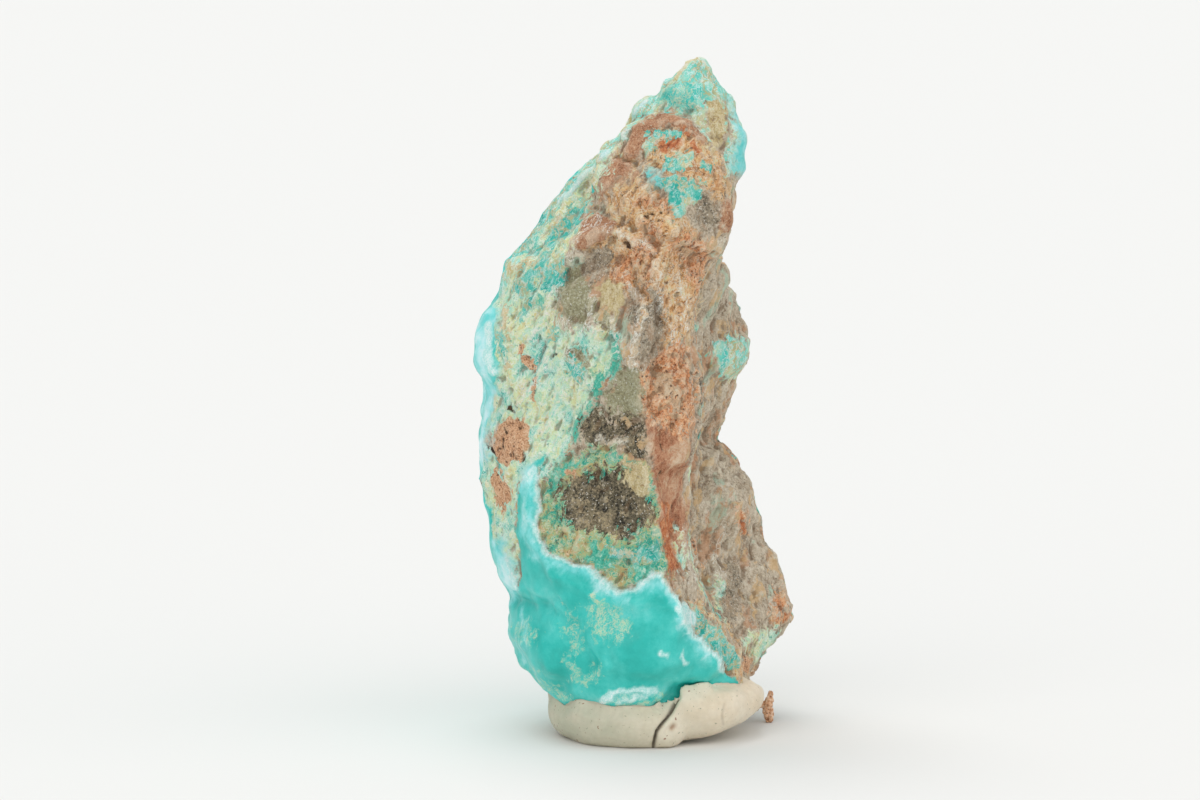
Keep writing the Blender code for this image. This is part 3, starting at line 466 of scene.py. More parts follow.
# %% Thin strips of colour, and pits
PLATE_GAP = [(-4.2, 57.9), (-3.2, 57.75), (-2.3, 57.6), (-1.5, 57.3)]  # where two mauve plates part
PATHS.update({
    "orange": [
        (0.7, [(-0.4, 50.7), (-2.3, 47.9), (-4.1, 46.1)]),
        (0.45, [(-0.8, 48.5), (-0.6, 47.0), (-0.8, 43.9)]),
    ],
    "ember": [
        (0.25, [(2.4, 60.9), (3.2, 60.4)]),
        (0.30, [(3.8, 59.6), (4.3, 58.4)]),
        (0.30, [(1.2, 23.0), (1.5, 19.8), (2.0, 17.6)]),
        (0.25, [(8.8, 21.6), (9.0, 20.4)]),
    ],
    "mauve": [
        (0.3, [(-13.6, 48.7), (-12.0, 49.6)]),
    ],
    "emerald": [
        (0.2, [(-12.6, 43.4), (-11.8, 43.9), (-11.2, 43.2)]),
    ],
    "rust": [
        (0.15, [(-11.8, 35.8), (-12.1, 34.6), (-12.3, 33.4)]),
    ],
    "tan": [
        (0.30, PLATE_GAP),
        (0.12, [(3.6, 13.4), (4.6, 13.2), (6.2, 11.9), (7.8, 10.3), (8.8, 8.4)]),
    ],
    "teal": [
        (0.7, [(-11.4, 48.2), (-9.2, 50.6), (-7.0, 53.0)]),
        (0.6, [(-14.0, 44.8), (-12.4, 46.2), (-11.0, 47.4)]),
        (0.4, [(-13.5, 41.6), (-12.7, 42.8), (-12.0, 43.6)]),
        (0.3, [(-10.5, 39.6), (-9.5, 41.6)]),
        (0.3, [(-15.9, 41.0), (-15.3, 38.0)]),
    ],
    "buff": [
        (0.28, [(-13.2, 50.0), (-11.4, 50.6), (-9.5, 51.8)]),
        (0.35, [(-14.6, 46.0), (-13.4, 46.8), (-12.4, 47.4)]),
        (0.25, [(-9.4, 49.6), (-7.9, 52.0)]),
        (0.25, [(-15.0, 42.8), (-14.9, 39.6)]),
        (0.3, [(-9.8, 54.0), (-7.6, 55.6)]),
        (0.25, [(-16.6, 37.6), (-15.8, 37.2), (-15.2, 37.0)]),
    ],
    "aqua": [
        (0.9, [(-15.8, 44.7), (-13.7, 49.4), (-11.0, 53.1), (-9.5, 54.6), (-7.0, 57.1), (-5.5, 58.6),
               (-3.8, 61.1), (-2.5, 64.1), (0.5, 67.4)]),
    ],
    "sage": [
        (0.35, [(-14.9, 43.0), (-12.9, 48.0), (-10.1, 52.2), (-6.1, 56.6)]),
    ],
    # pits: small dents, painted near-black as the shade inside them
    "pit": [
        (0.17, [(-0.5, 52.0), (-0.4, 52.0)]),
        (0.13, [(0.2, 52.3), (0.3, 52.4)]),
        (0.12, [(-1.0, 51.7), (-0.9, 51.6)]),
        (0.10, [(0.0, 51.6), (0.1, 51.5)]),
        (0.12, [(-10.1, 37.8), (-9.9, 38.1)]),
        (0.14, [(-2.9, 49.2), (-2.6, 49.0)]),
        (0.22, [(-14.7, 32.9), (-14.6, 32.8)]),
        (0.18, [(-14.1, 32.5), (-14.0, 32.4)]),
        (0.18, [(-16.4, 28.9), (-16.1, 28.2)]),
        (0.10, [(-15.3, 29.7), (-15.2, 29.1)]),
        (0.10, [(-15.8, 29.0), (-15.7, 28.7)]),
        (0.12, [(-13.2, 27.6), (-13.3, 28.2)]),
        (0.10, [(-13.5, 31.0), (-13.4, 30.8)]),
        (0.10, [(-14.4, 28.4), (-14.3, 28.0)]),
        (0.10, [(-14.9, 30.6), (-14.8, 30.1)]),
        (0.10, [(-13.6, 39.0), (-13.5, 38.4)]),
        (0.10, [(0.4, 29.0), (0.5, 28.7)]),
        (0.12, [(0.7, 26.2), (0.7, 26.1)]),
    ],
})
print("pits:", len(PATHS["pit"]))

# %% The order in which the finishes lie
FINISHES = [
    "tan", "red", "orange", "mauve", "sage", "mossy", "emerald", "olive", "ashen", "dark", "buff", "rust",
    "ember", "teal", "crust", "aqua", "veil", "vein", "pale", "white", "pit",
]
print("finishes from the deepest to the topmost:", ", ".join(FINISHES))

# %% [markdown]
# ## A fine skin for the stone
#
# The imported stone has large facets, and grains and crystals need cells of about a quarter of a millimetre. A
# Remesh modifier in voxel mode makes the whole skin again of even cells and keeps it closed. The facets that
# it copies are then evened out: points move towards the middle of their neighbours and, a moment later, a
# little further back. Moving both ways keeps the stone from shrinking.

# %% The even skin
STONE_CELL = 0.285
EVENINGS = 8
EVEN_IN, EVEN_OUT = 0.55, -0.57


def with_modifier(mesh, kind, **settings):
    """A new mesh: this one as one of Blender's modifiers makes it."""
    piece = bpy.data.objects.new("at_work", mesh)
    bpy.context.scene.collection.objects.link(piece)
    modifier = piece.modifiers.new(kind.lower(), kind)
    for setting, value in settings.items():
        setattr(modifier, setting, value)
    graph = bpy.context.evaluated_depsgraph_get()
    made = bpy.data.meshes.new_from_object(piece.evaluated_get(graph))
    bpy.data.objects.remove(piece)
    return made


def numbers(mesh, what):
    """The places ("co") or facings ("normal") of a mesh's points. Places come in millimetres."""
    values = np.empty(len(mesh.vertices) * 3, np.float32)
    mesh.vertices.foreach_get(what, values)
    return values.reshape(-1, 3).astype(float) / (MM if what == "co" else 1.0)


def put_points(mesh, points):
    """Moves a mesh's points to places in millimetres."""
    mesh.vertices.foreach_set("co", (points * MM).astype(np.float32).ravel())
    mesh.update()


def neighbours_mean(mesh, values):
    """For each point, the mean of a value over the points that an edge joins it to."""
    ends = np.empty(len(mesh.edges) * 2, np.int32)
    mesh.edges.foreach_get("vertices", ends)
    one, other = ends.reshape(-1, 2).T
    count = len(mesh.vertices)
    met = np.bincount(one, minlength=count) + np.bincount(other, minlength=count)
    columns = values.reshape(count, -1).T
    sums = [
        np.bincount(one, column[other], count) + np.bincount(other, column[one], count) for column in columns
    ]
    return (np.array(sums) / met).T.reshape(values.shape)


def even_skin(node, cell, evenings):
    """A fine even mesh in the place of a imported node."""
    shape = bmesh.new()
    shape.from_mesh(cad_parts[node].data)
    bmesh.ops.remove_doubles(shape, verts=shape.verts, dist=0.001 * MM)
    welded = bpy.data.meshes.new(node)
    shape.to_mesh(welded)
    shape.free()
    mesh = with_modifier(welded, "REMESH", mode="VOXEL", voxel_size=cell * MM)
    points = numbers(mesh, "co")
    for _ in range(evenings):
        for share in (EVEN_IN, EVEN_OUT):
            points += (neighbours_mean(mesh, points) - points) * share
    put_points(mesh, points)
    mesh.materials.clear()
    mesh.shade_smooth()
    return mesh


stone_mesh = even_skin("hemimorphite_stone", STONE_CELL, EVENINGS)
print("the stone's skin has", len(stone_mesh.polygons), "cells")

# %% [markdown]
# ## Which points the map can speak for
#
# The map knows only what shows from the front. A ray from each point towards the viewer tells whether another
# part of the stone is in the way, and the point's own facing tells whether it looks to the front at all. The
# answer is spread over the neighbouring points, so that the map's finishes fade into those of the hidden
# sides instead of stopping at a line.

# %% The seen side
RAY_START = 0.4
SEEN_FROM, SEEN_FULL = -0.02, 0.12
SPREADS = 14


def surface_of(mesh):
    """A mesh's faces, ready to be asked what a ray meets or which place on them is nearest."""
    return BVHTree.FromPolygons([v.co for v in mesh.vertices], [p.vertices for p in mesh.polygons])


skin = surface_of(stone_mesh)
stone_points = numbers(stone_mesh, "co")
stone_facings = numbers(stone_mesh, "normal")
viewer = np.array(VIEW_TARGET + to_viewer * VIEW_DISTANCE) / MM
sight = viewer - stone_points
sight /= np.linalg.norm(sight, axis=1)[:, None]
starts = stone_points + stone_facings * RAY_START
is_free = [skin.ray_cast(Vector(p) * MM, Vector(d))[0] is None for p, d in zip(starts, sight)]
seen = np.array(is_free, float) * smooth_step(SEEN_FROM, SEEN_FULL, (stone_facings * sight).sum(axis=1))
for _ in range(SPREADS):
    seen = (seen + neighbours_mean(stone_mesh, seen)) / 2
print("share of the skin that the map covers:", round(float(seen.mean()), 2))

# %% [markdown]
# ## How deep each point lies in each finish
#
# For each finish, every point gets one number: how many millimetres it lies inside the finish's patches, or
# outside them if the number is below nought. A material can then draw the edge of a patch wherever it likes,
# broken or soft. The places are shaken by noise first, because no grown or broken edge runs straight. On the
# hidden sides the same order of growth holds all round the stone: turquoise crust on the left and back, a
# white band where it ends, sage skin outside the band, then bare matrix with stains of its own.

# %% Depths in the finishes
SHAKES = ((2.4, 0.45), (0.9, 0.28))
DEEPEST = 2.0
BACK_CRUST_ENDS = 2.5
TIP_CRUST_FROM = 57.0
BACK_WANDER = ((7.0, 3.2), (2.6, 1.2))
TIP_WANDER = (3.0, 2.0)
# beside the edge of the crust: how deep in it the middle of each band lies, and half the band's width
HIDDEN_BANDS = {"white": (0.0, 0.5), "pale": (0.9, 0.9), "sage": (-1.5, 1.5)}
# the size of each stain's noise, and how high the noise has to rise for the stain to show
HIDDEN_STAINS = {
    "tan": (5.0, 0.10), "orange": (4.0, 0.22), "red": (6.0, 0.30), "mauve": (7.0, 0.34),
    "olive": (5.0, 0.36), "dark": (4.5, 0.26), "rust": (3.0, 0.50), "emerald": (3.5, 0.52),
    "teal": (3.8, 0.34), "veil": (4.6, 0.42), "ember": (2.6, 0.60), "mossy": (5.5, 0.40),
    "ashen": (4.2, 0.30), "buff": (3.4, 0.36),
}
STAIN_SLOPE = 5.0
STAIN_SHIFT = 31.7
VEIN_SIZE, VEIN_HALF, VEIN_SLOPE = 6.0, 0.35, 4.0


def waves(points, size, octaves=2, shift=0.0):
    """Soft noise at each point, about -1 to 1. size is the length of its largest waves in millimetres.

    The noise is the same each time. Another shift reads it elsewhere, which gives another noise.
    """
    return np.array([noise.fractal(Vector(p), 1.0, 2.0, octaves) for p in points / size + shift])


def shaken(points):
    """The points' places on the face map, moved a little by noise."""
    places = face_map(points)
    for size, reach in SHAKES:
        places[:, 0] += waves(points, size, shift=3.3) * reach
        places[:, 1] += waves(points, size, shift=17.9) * reach
    return places


def hidden_depths(points):
    """The depth in each finish on the sides that the map doesn't show."""
    crust = np.maximum(BACK_CRUST_ENDS - points[:, 0], points[:, 2] - TIP_CRUST_FROM)
    for size, reach in BACK_WANDER:
        crust += waves(points, size, shift=9.1) * reach
    depths = {"crust": crust, "pit": np.full(len(points), -DEEPEST)}
    for finish, (middle, half) in HIDDEN_BANDS.items():
        depths[finish] = half - np.abs(crust - middle)
    size, reach = TIP_WANDER
    depths["aqua"] = points[:, 2] - TIP_CRUST_FROM + waves(points, size, shift=5.1) * reach
    for i, (finish, (size, threshold)) in enumerate(HIDDEN_STAINS.items()):
        depths[finish] = (waves(points, size, shift=STAIN_SHIFT * (i + 1)) - threshold) * STAIN_SLOPE
    depths["vein"] = VEIN_HALF - VEIN_SLOPE * np.abs(waves(points, VEIN_SIZE, 3, shift=4.9))
    depths["vein"] -= np.clip(crust + HIDDEN_BANDS["white"][1], 0.0, DEEPEST)
    return depths


def front_depth(places, finish):
    """The depth in the patches and paths of one finish on the face map."""
    found = [depth_in(places, outline) for outline in PATCHES.get(finish, [])]
    found += [half - to_path(places, path) for half, path in PATHS.get(finish, [])]
    return np.max(found, axis=0)


def depths_of(points, seen):
    """For each finish, how deep the points lie in it."""
    places = shaken(points)
    hidden = hidden_depths(points)
    blend = {}
    for finish in FINISHES:
        front = np.clip(front_depth(places, finish), -DEEPEST, DEEPEST)
        blend[finish] = front * seen + np.clip(hidden[finish], -DEEPEST, DEEPEST) * (1.0 - seen)
    return blend


depths = depths_of(stone_points, seen)
for finish in FINISHES:
    print(f"{finish:8s} covers {np.mean(depths[finish] > 0):.2f} of the skin")

# %% [markdown]
# ## Relief
#
# The finishes differ in shape as much as in colour. Grown crust is smooth with low swells, the white band
# stands up as a lip, dark and olive lenses are packed grains, plates are flat with sharp edges, and the
# broken matrix is all chips. Each finish gets its own relief in millimetres, weighed by how far the point
# lies in it. The points then move along their facings, which is geometry and not shading, so it shows in the
# outline too.

# %% Relief
CHIP_EDGE = 0.16
CHIP_LEAN = 1.4
STREAK = np.array([0.46, 0.0, 0.89])  # the grain of the rock runs up and to the right
STREAK_STRETCH = 2.0
GRAIN_RISE, GRAIN_ROUND = 1.8, 0.6
COVER_SOFTNESS = 0.25


def drawn_out(points):
    """The places where a noise is read so that its shapes come out longer along the grain of the rock."""
    return points - np.outer(points @ STREAK, STREAK) * (1.0 - 1.0 / STREAK_STRETCH)


def chips(points, size):
    """Leaning facets, one for each cell of the given size, as broken rock shows them.

    Each cell's own height and lean are read from its centre, moved so that the two don't go together.
    """
    middle = Vector((0.5, 0.5, 0.5))
    heights = np.empty(len(points))
    for i, p in enumerate(drawn_out(points) / size):
        place = Vector(p)
        away, centres = noise.voronoi(place)
        leans = [CHIP_LEAN * (noise.cell_vector(c * 3.1) - middle).dot(place - c) for c in centres[:2]]
        one, two = (noise.cell(c * 7.3) - 0.5 + lean for c, lean in zip(centres, leans))
        share = min(1.0, (away[1] - away[0]) / CHIP_EDGE)
        heights[i] = (one * (1.0 + share) + two * (1.0 - share)) / 2
    return heights


def grains(points, size):
    """Round grains packed side by side, from 0 in the gaps to 1 on their tops."""
    near = np.array([noise.voronoi(Vector(p))[0][:2] for p in points / size])
    return np.clip((near[:, 1] - near[:, 0]) * GRAIN_RISE, 0.0, 1.0) ** GRAIN_ROUND


def shares_of(depths):
    """How much of each finish shows at each point, where the later finishes cover the earlier."""
    left = np.ones(len(depths["tan"]))
    shares = {}
    for finish in reversed(FINISHES):
        cover = smooth_step(-COVER_SOFTNESS, COVER_SOFTNESS, depths[finish])
        shares[finish] = cover * left
        left = left * (1.0 - cover)
    shares["grey"] = left
    return shares


shares = shares_of(depths)
print("bare grey rock shows on", round(float(shares["grey"].mean()), 2), "of the skin")

# %% What each finish adds to the skin
large_chips = chips(stone_points, 1.9)
small_chips = chips(stone_points, 0.8)
fine_grains = grains(stone_points, 0.5)
swells = waves(stone_points, 2.6)
ripples = waves(drawn_out(stone_points), 0.9, 3)
ridges = 1.0 - 2.5 * np.abs(waves(drawn_out(stone_points), 1.5, 3, shift=5.5))
RELIEF = {
    "grey": 0.30 * large_chips + 0.16 * small_chips + 0.14 * ridges,
    "tan": 0.20 * large_chips + 0.20 * small_chips + 0.05 * ridges + 0.12 * fine_grains,
    "orange": 0.20 * large_chips + 0.22 * small_chips + 0.04 * ridges + 0.14 * fine_grains,
    "red": 0.12 * large_chips + 0.08 * small_chips + 0.06 * ridges,
    "mauve": 0.10 * large_chips + 0.06 * small_chips + 0.30,
    "sage": 0.12 * large_chips + 0.14 * small_chips + 0.14 * ridges,
    "mossy": 0.14 * large_chips + 0.20 * small_chips + 0.14 * ridges,
    "emerald": 0.06 * swells + 0.14 * ridges - 0.05,
    "buff": 0.12 * large_chips + 0.12 * small_chips + 0.06 * fine_grains + 0.10,
    "ashen": 0.12 * large_chips + 0.10 * small_chips + 0.06 * fine_grains,
    "olive": 0.03 * fine_grains + 0.10 * large_chips + 0.04 * small_chips,
    "dark": 0.05 * fine_grains + 0.14 * large_chips + 0.14 * small_chips - 0.05,
    "rust": 0.05 * fine_grains + 0.10 * small_chips - 0.10,
    "ember": 0.12 * large_chips + 0.12 * small_chips,
    "teal": 0.10 * swells + 0.10 * ridges + 0.08 * small_chips + 0.05,
    "crust": 0.16 * swells + 0.03 * ripples + 0.10,
    "aqua": 0.20 * large_chips + 0.10 * ridges + 0.06 * small_chips + 0.05,
    "veil": 0.16 * swells + 0.06 * ripples + 0.10,
    "vein": 0.10 * swells + 0.10 * ridges + 0.12,
    "pale": 0.16 * swells + 0.03 * ripples + 0.10,
    "white": 0.14 * swells + 0.04 * ripples + 0.16,
    "pit": -0.35,
}
relief = sum(shares[finish] * RELIEF[finish] for finish in RELIEF)
print("the finishes' relief runs from", relief.min().round(2), "to", relief.max().round(2), "mm")

# %% Single folds
# for each its depth, below nought for a swell, half of its width, and its path on the face map
FOLDS = {
    "ledge": (0.30, 0.55, [(-14.8, 14.3), (-11.5, 13.7), (-7.8, 12.8)]),
    "valley": (0.35, 0.80, [(-9.1, 12.8), (-8.2, 11.2), (-8.5, 8.6), (-9.5, 4.6)]),
    "lower_valley": (0.20, 0.60, [(-4.6, 9.4), (-3.9, 7.0), (-4.4, 5.4)]),
    "undercut": (0.8, 0.9, [(0.8, 3.0), (2.4, 4.0), (4.6, 4.6)]),
    "plate_gap": (0.35, 0.30, PLATE_GAP),
    "crescent": (-0.25, 0.6, [(-4.3, 4.3), (-3.0, 4.7), (-1.5, 4.6), (0.0, 4.2)]),
    "shoulder": (-0.5, 1.8, [(8.6, 45.6), (9.0, 42.0), (9.2, 39.6)]),
    "finger_side": (0.25, 0.45, [(-13.6, 24.4), (-13.9, 20.0), (-13.7, 15.2)]),
}
stone_places = shaken(stone_points)
for depth, half, way in FOLDS.values():
    relief -= depth * seen * np.exp(-((to_path(stone_places, way) / half) ** 2))
put_points(stone_mesh, stone_points + stone_facings * relief[:, None])
stone_mesh.calc_loop_triangles()
print("relief from", relief.min().round(2), "to", relief.max().round(2), "mm on",
      len(stone_mesh.loop_triangles), "triangles")

# %% [markdown]
# ## Numbers for the materials
#
# A material can read numbers that a mesh keeps for each of its points. The depths go there under the names of
# the finishes. One more number tells how far a point stands above its surroundings, so that the hollows can be
# painted darker as shade and the crests paler, partly as rubbed stone and partly as a painted highlight.

# %% Attributes
CREST_ROUNDS = 4


def keep(mesh, name, values):
    """Keeps one number for each point of a mesh."""
    mesh.attributes.new(name, "FLOAT", "POINT").data.foreach_set("value", values.astype(np.float32))


def standing_out(mesh, rounds):
    """How far each point stands out of the mean of its surroundings, in millimetres."""
    points = numbers(mesh, "co")
    mean = points
    for _ in range(rounds):
        mean = neighbours_mean(mesh, mean)
    return ((points - mean) * numbers(mesh, "normal")).sum(axis=1)


for finish in FINISHES:
    keep(stone_mesh, finish, depths[finish])
crest = standing_out(stone_mesh, CREST_ROUNDS)
keep(stone_mesh, "crest", crest / crest.std())
print("crest from", crest.min().round(2), "to", crest.max().round(2), "mm")

# %% [markdown]
# ## Writing materials as sums
#
# A finish is worked out by a tree of nodes. Written out one by one, the nodes hide the idea, so a small class
# holds the output of a node and gives it Python's own operators. `1 - mask` then adds the Math node that
# works it out. Every other node comes from one method, `add`, which sets the node's settings first and then
# the values or links of its sockets. The rest of the class gives names to what the finishes use again and
# again.

# %% Nodes from expressions
MIX_SHARE, MIX_FROM, MIX_TO, MIX_RESULT = 0, 6, 7, 2
MIDDLE_LOW, MIDDLE_HIGH = 0.32, 0.68


class Strand:
    """The output of a node. Sums and products of strands add the nodes that work them out."""

    def __init__(self, recipe, socket):
        self.recipe, self.socket = recipe, socket

    def math(self, operation, first, second):
        return self.recipe.add("ShaderNodeMath", {"operation": operation}, {0: first, 1: second})

    def __add__(self, other):
        return self.math("ADD", self, other)

    def __sub__(self, other):
        return self.math("SUBTRACT", self, other)

    def __rsub__(self, other):
        return self.math("SUBTRACT", other, self)

    def __mul__(self, other):
        return self.math("MULTIPLY", self, other)

    def __abs__(self):
        return self.recipe.add("ShaderNodeMath", {"operation": "ABSOLUTE"}, {0: self})

    __radd__, __rmul__ = __add__, __mul__


class Recipe:
    """The nodes of one material."""

    def __init__(self, name):
        self.material = bpy.data.materials.new(name)
        self.material.use_nodes = True
        self.tree = self.material.node_tree
        self.tree.nodes.clear()

    def add(self, kind, settings, sockets, output=0):
        """A node with these settings, then these values or links. Gives the strand of one output."""
        node = self.tree.nodes.new(kind)
        for name, value in settings.items():
            if name == "stops":
                set_stops(node.color_ramp, value)
            else:
                setattr(node, name, value)
        for name, value in sockets.items():
            if isinstance(value, Strand):
                self.tree.links.new(value.socket, node.inputs[name])
            else:
                node.inputs[name].default_value = value
        return Strand(self, node.outputs[output]) if len(node.outputs) else node

    def mix(self, share, one, other):
        """The colour one where share is 0, and other where it is 1."""
        sockets = {MIX_SHARE: share, MIX_FROM: one, MIX_TO: other}
        return self.add("ShaderNodeMix", {"data_type": "RGBA"}, sockets, MIX_RESULT)

    def mottle(self, places, size, detail, roughness=0.55):
        """A noise whose middle range is spread over the whole of 0 to 1."""
        value = self.noise(places, size, detail, roughness)
        sockets = {"Value": value, "From Min": MIDDLE_LOW, "From Max": MIDDLE_HIGH}
        return self.add("ShaderNodeMapRange", {}, sockets)

    def specks(self, places, size, low, high, detail=1.0):
        """1 in small spots, where a noise rises above high, and 0 where it is below low."""
        return self.step(self.noise(places, size, detail, 0.5), low, high)

    def veins(self, places, size, width):
        """1 on thin wandering lines, where a noise passes its mean, and 0 beside them."""
        return self.step(abs(self.noise(places, size, 3.0, 0.6) - 0.5), width, 0.0)

    def step(self, value, low, high):
        """0 where the value is below low, 1 above high, and a soft slope between them."""
        sockets = {"Value": value, "From Min": low, "From Max": high}
        return self.add("ShaderNodeMapRange", {"interpolation_type": "SMOOTHSTEP"}, sockets)

    def ramp(self, value, *stops):
        """A colour for each value, from stops of (value, colour)."""
        return self.add("ShaderNodeValToRGB", {"stops": stops}, {"Fac": value})

    def kept(self, name):
        """A number that the mesh keeps for each of its points."""
        return self.add("ShaderNodeAttribute", {"attribute_name": name}, {}, "Fac")

    def places(self):
        """The place on the piece, in millimetres."""
        place = self.add("ShaderNodeTexCoord", {}, {}, "Object")
        return self.add("ShaderNodeVectorMath", {"operation": "SCALE"}, {0: place, "Scale": 1.0 / MM})

    def noise(self, places, size, detail, roughness=0.55, output=0):
        """Soft noise from 0 to 1 with waves of that size in millimetres."""
        sockets = {"Vector": places, "Scale": 1.0 / size, "Detail": detail, "Roughness": roughness}
        return self.add("ShaderNodeTexNoise", {}, sockets, output)

    def cells(self, places, size):
        """Cells of that size, each with one value of its own."""
        sockets = {"Vector": places, "Scale": 1.0 / size}
        colour = self.add("ShaderNodeTexVoronoi", {}, sockets, "Color")
        return self.add("ShaderNodeSeparateColor", {}, {"Color": colour})

    def bump(self, height, strength, rise):
        """Shading as if the surface rose by rise millimetres where the height is 1."""
        sockets = {"Strength": strength, "Distance": rise * MM, "Height": height}
        return self.add("ShaderNodeBump", {}, sockets, "Normal")

    def surface(self, sockets):
        """A Principled shader."""
        return self.add("ShaderNodeBsdfPrincipled", {}, sockets)

    def show(self, shader):
        """Makes a shader the surface of the material."""
        self.add("ShaderNodeOutputMaterial", {}, {"Surface": shader})


def set_stops(ramp, stops):
    """Gives a ramp these stops of (value, colour)."""
    while len(ramp.elements) < len(stops):
        ramp.elements.new(1.0)
    for element, (value, colour) in zip(ramp.elements, stops):
        element.position, element.color = value, colour


def paint(red, green, blue):
    """A colour in linear light from the 0 to 255 values that a screen shows for it."""
    parts = [c / 255 for c in (red, green, blue)]
    return (*(c / 12.92 if c <= 0.04045 else ((c + 0.055) / 1.055) ** 2.4 for c in parts), 1.0)


print("a screen's middle grey is", round(paint(128, 128, 128)[0], 3), "in linear light")

# %% [markdown]
# ## The stone's finish
#
# The matrix is a mixture of brown, grey and tan grains, and the crust is a smooth, slightly waxy turquoise
# that lets some light in. The same few noises serve every finish: slow clouds, a curdled noise whose places
# are stirred by another noise, streaks along the grain of the rock, grains, fine flecks, and webs of veins.
# Each finish reads a sum of some of them through a ramp of its own colours.

# %% Noises of the stone
GRAIN_TURN = math.atan2(STREAK[0], STREAK[2])
STIR = 1.6
STREAK_LENGTH = 3.2

stone = Recipe("hemimorphite_and_matrix")
spot = stone.places()
stir = stone.noise(spot, 1.2, 3.0, output="Color")
stirred = stone.add(
    "ShaderNodeVectorMath", {"operation": "MULTIPLY_ADD"}, {0: stir, 1: (STIR, STIR, STIR), 2: spot}
)
along = stone.add(
    "ShaderNodeMapping", {"vector_type": "TEXTURE"},
    {"Vector": stirred, "Rotation": (0.0, GRAIN_TURN, 0.0), "Scale": (1.0, 1.0, STREAK_LENGTH)},
)
clouds = stone.mottle(spot, 3.6, 4.0)
curdle = stone.mottle(stirred, 0.95, 5.0, 0.6)
slow_curdle = stone.mottle(stirred, 2.2, 5.0, 0.6)
streaks = stone.mottle(along, 0.5, 4.0, 0.58)
slow_streaks = stone.mottle(along, 1.7, 2.5, 0.5)
fleck = stone.mottle(spot, 0.17, 2.0, 0.6)
grain_value = stone.cells(spot, 0.2)
web = stone.veins(stirred, 1.1, 0.035)
wide_web = stone.veins(stirred, 2.2, 0.05)
fibres = stone.veins(along, 0.55, 0.05)
blots = stone.step(slow_curdle, 0.58, 0.72)
silk = stone.veins(along, 0.7, 0.045)
# dark specks that stand for tiny pits: painted shade
pit_shade_specks = stone.specks(spot, 0.42, 0.63, 0.70, 2.0)
# pale specks of this noise in the mauve, olive, ashen and dark finishes are painted glints; in the mossy
# finish it lays dark specks
glints_and_specks = stone.specks(spot, 0.2, 0.66, 0.72)
print("the shared noises take", len(stone.tree.nodes), "nodes")

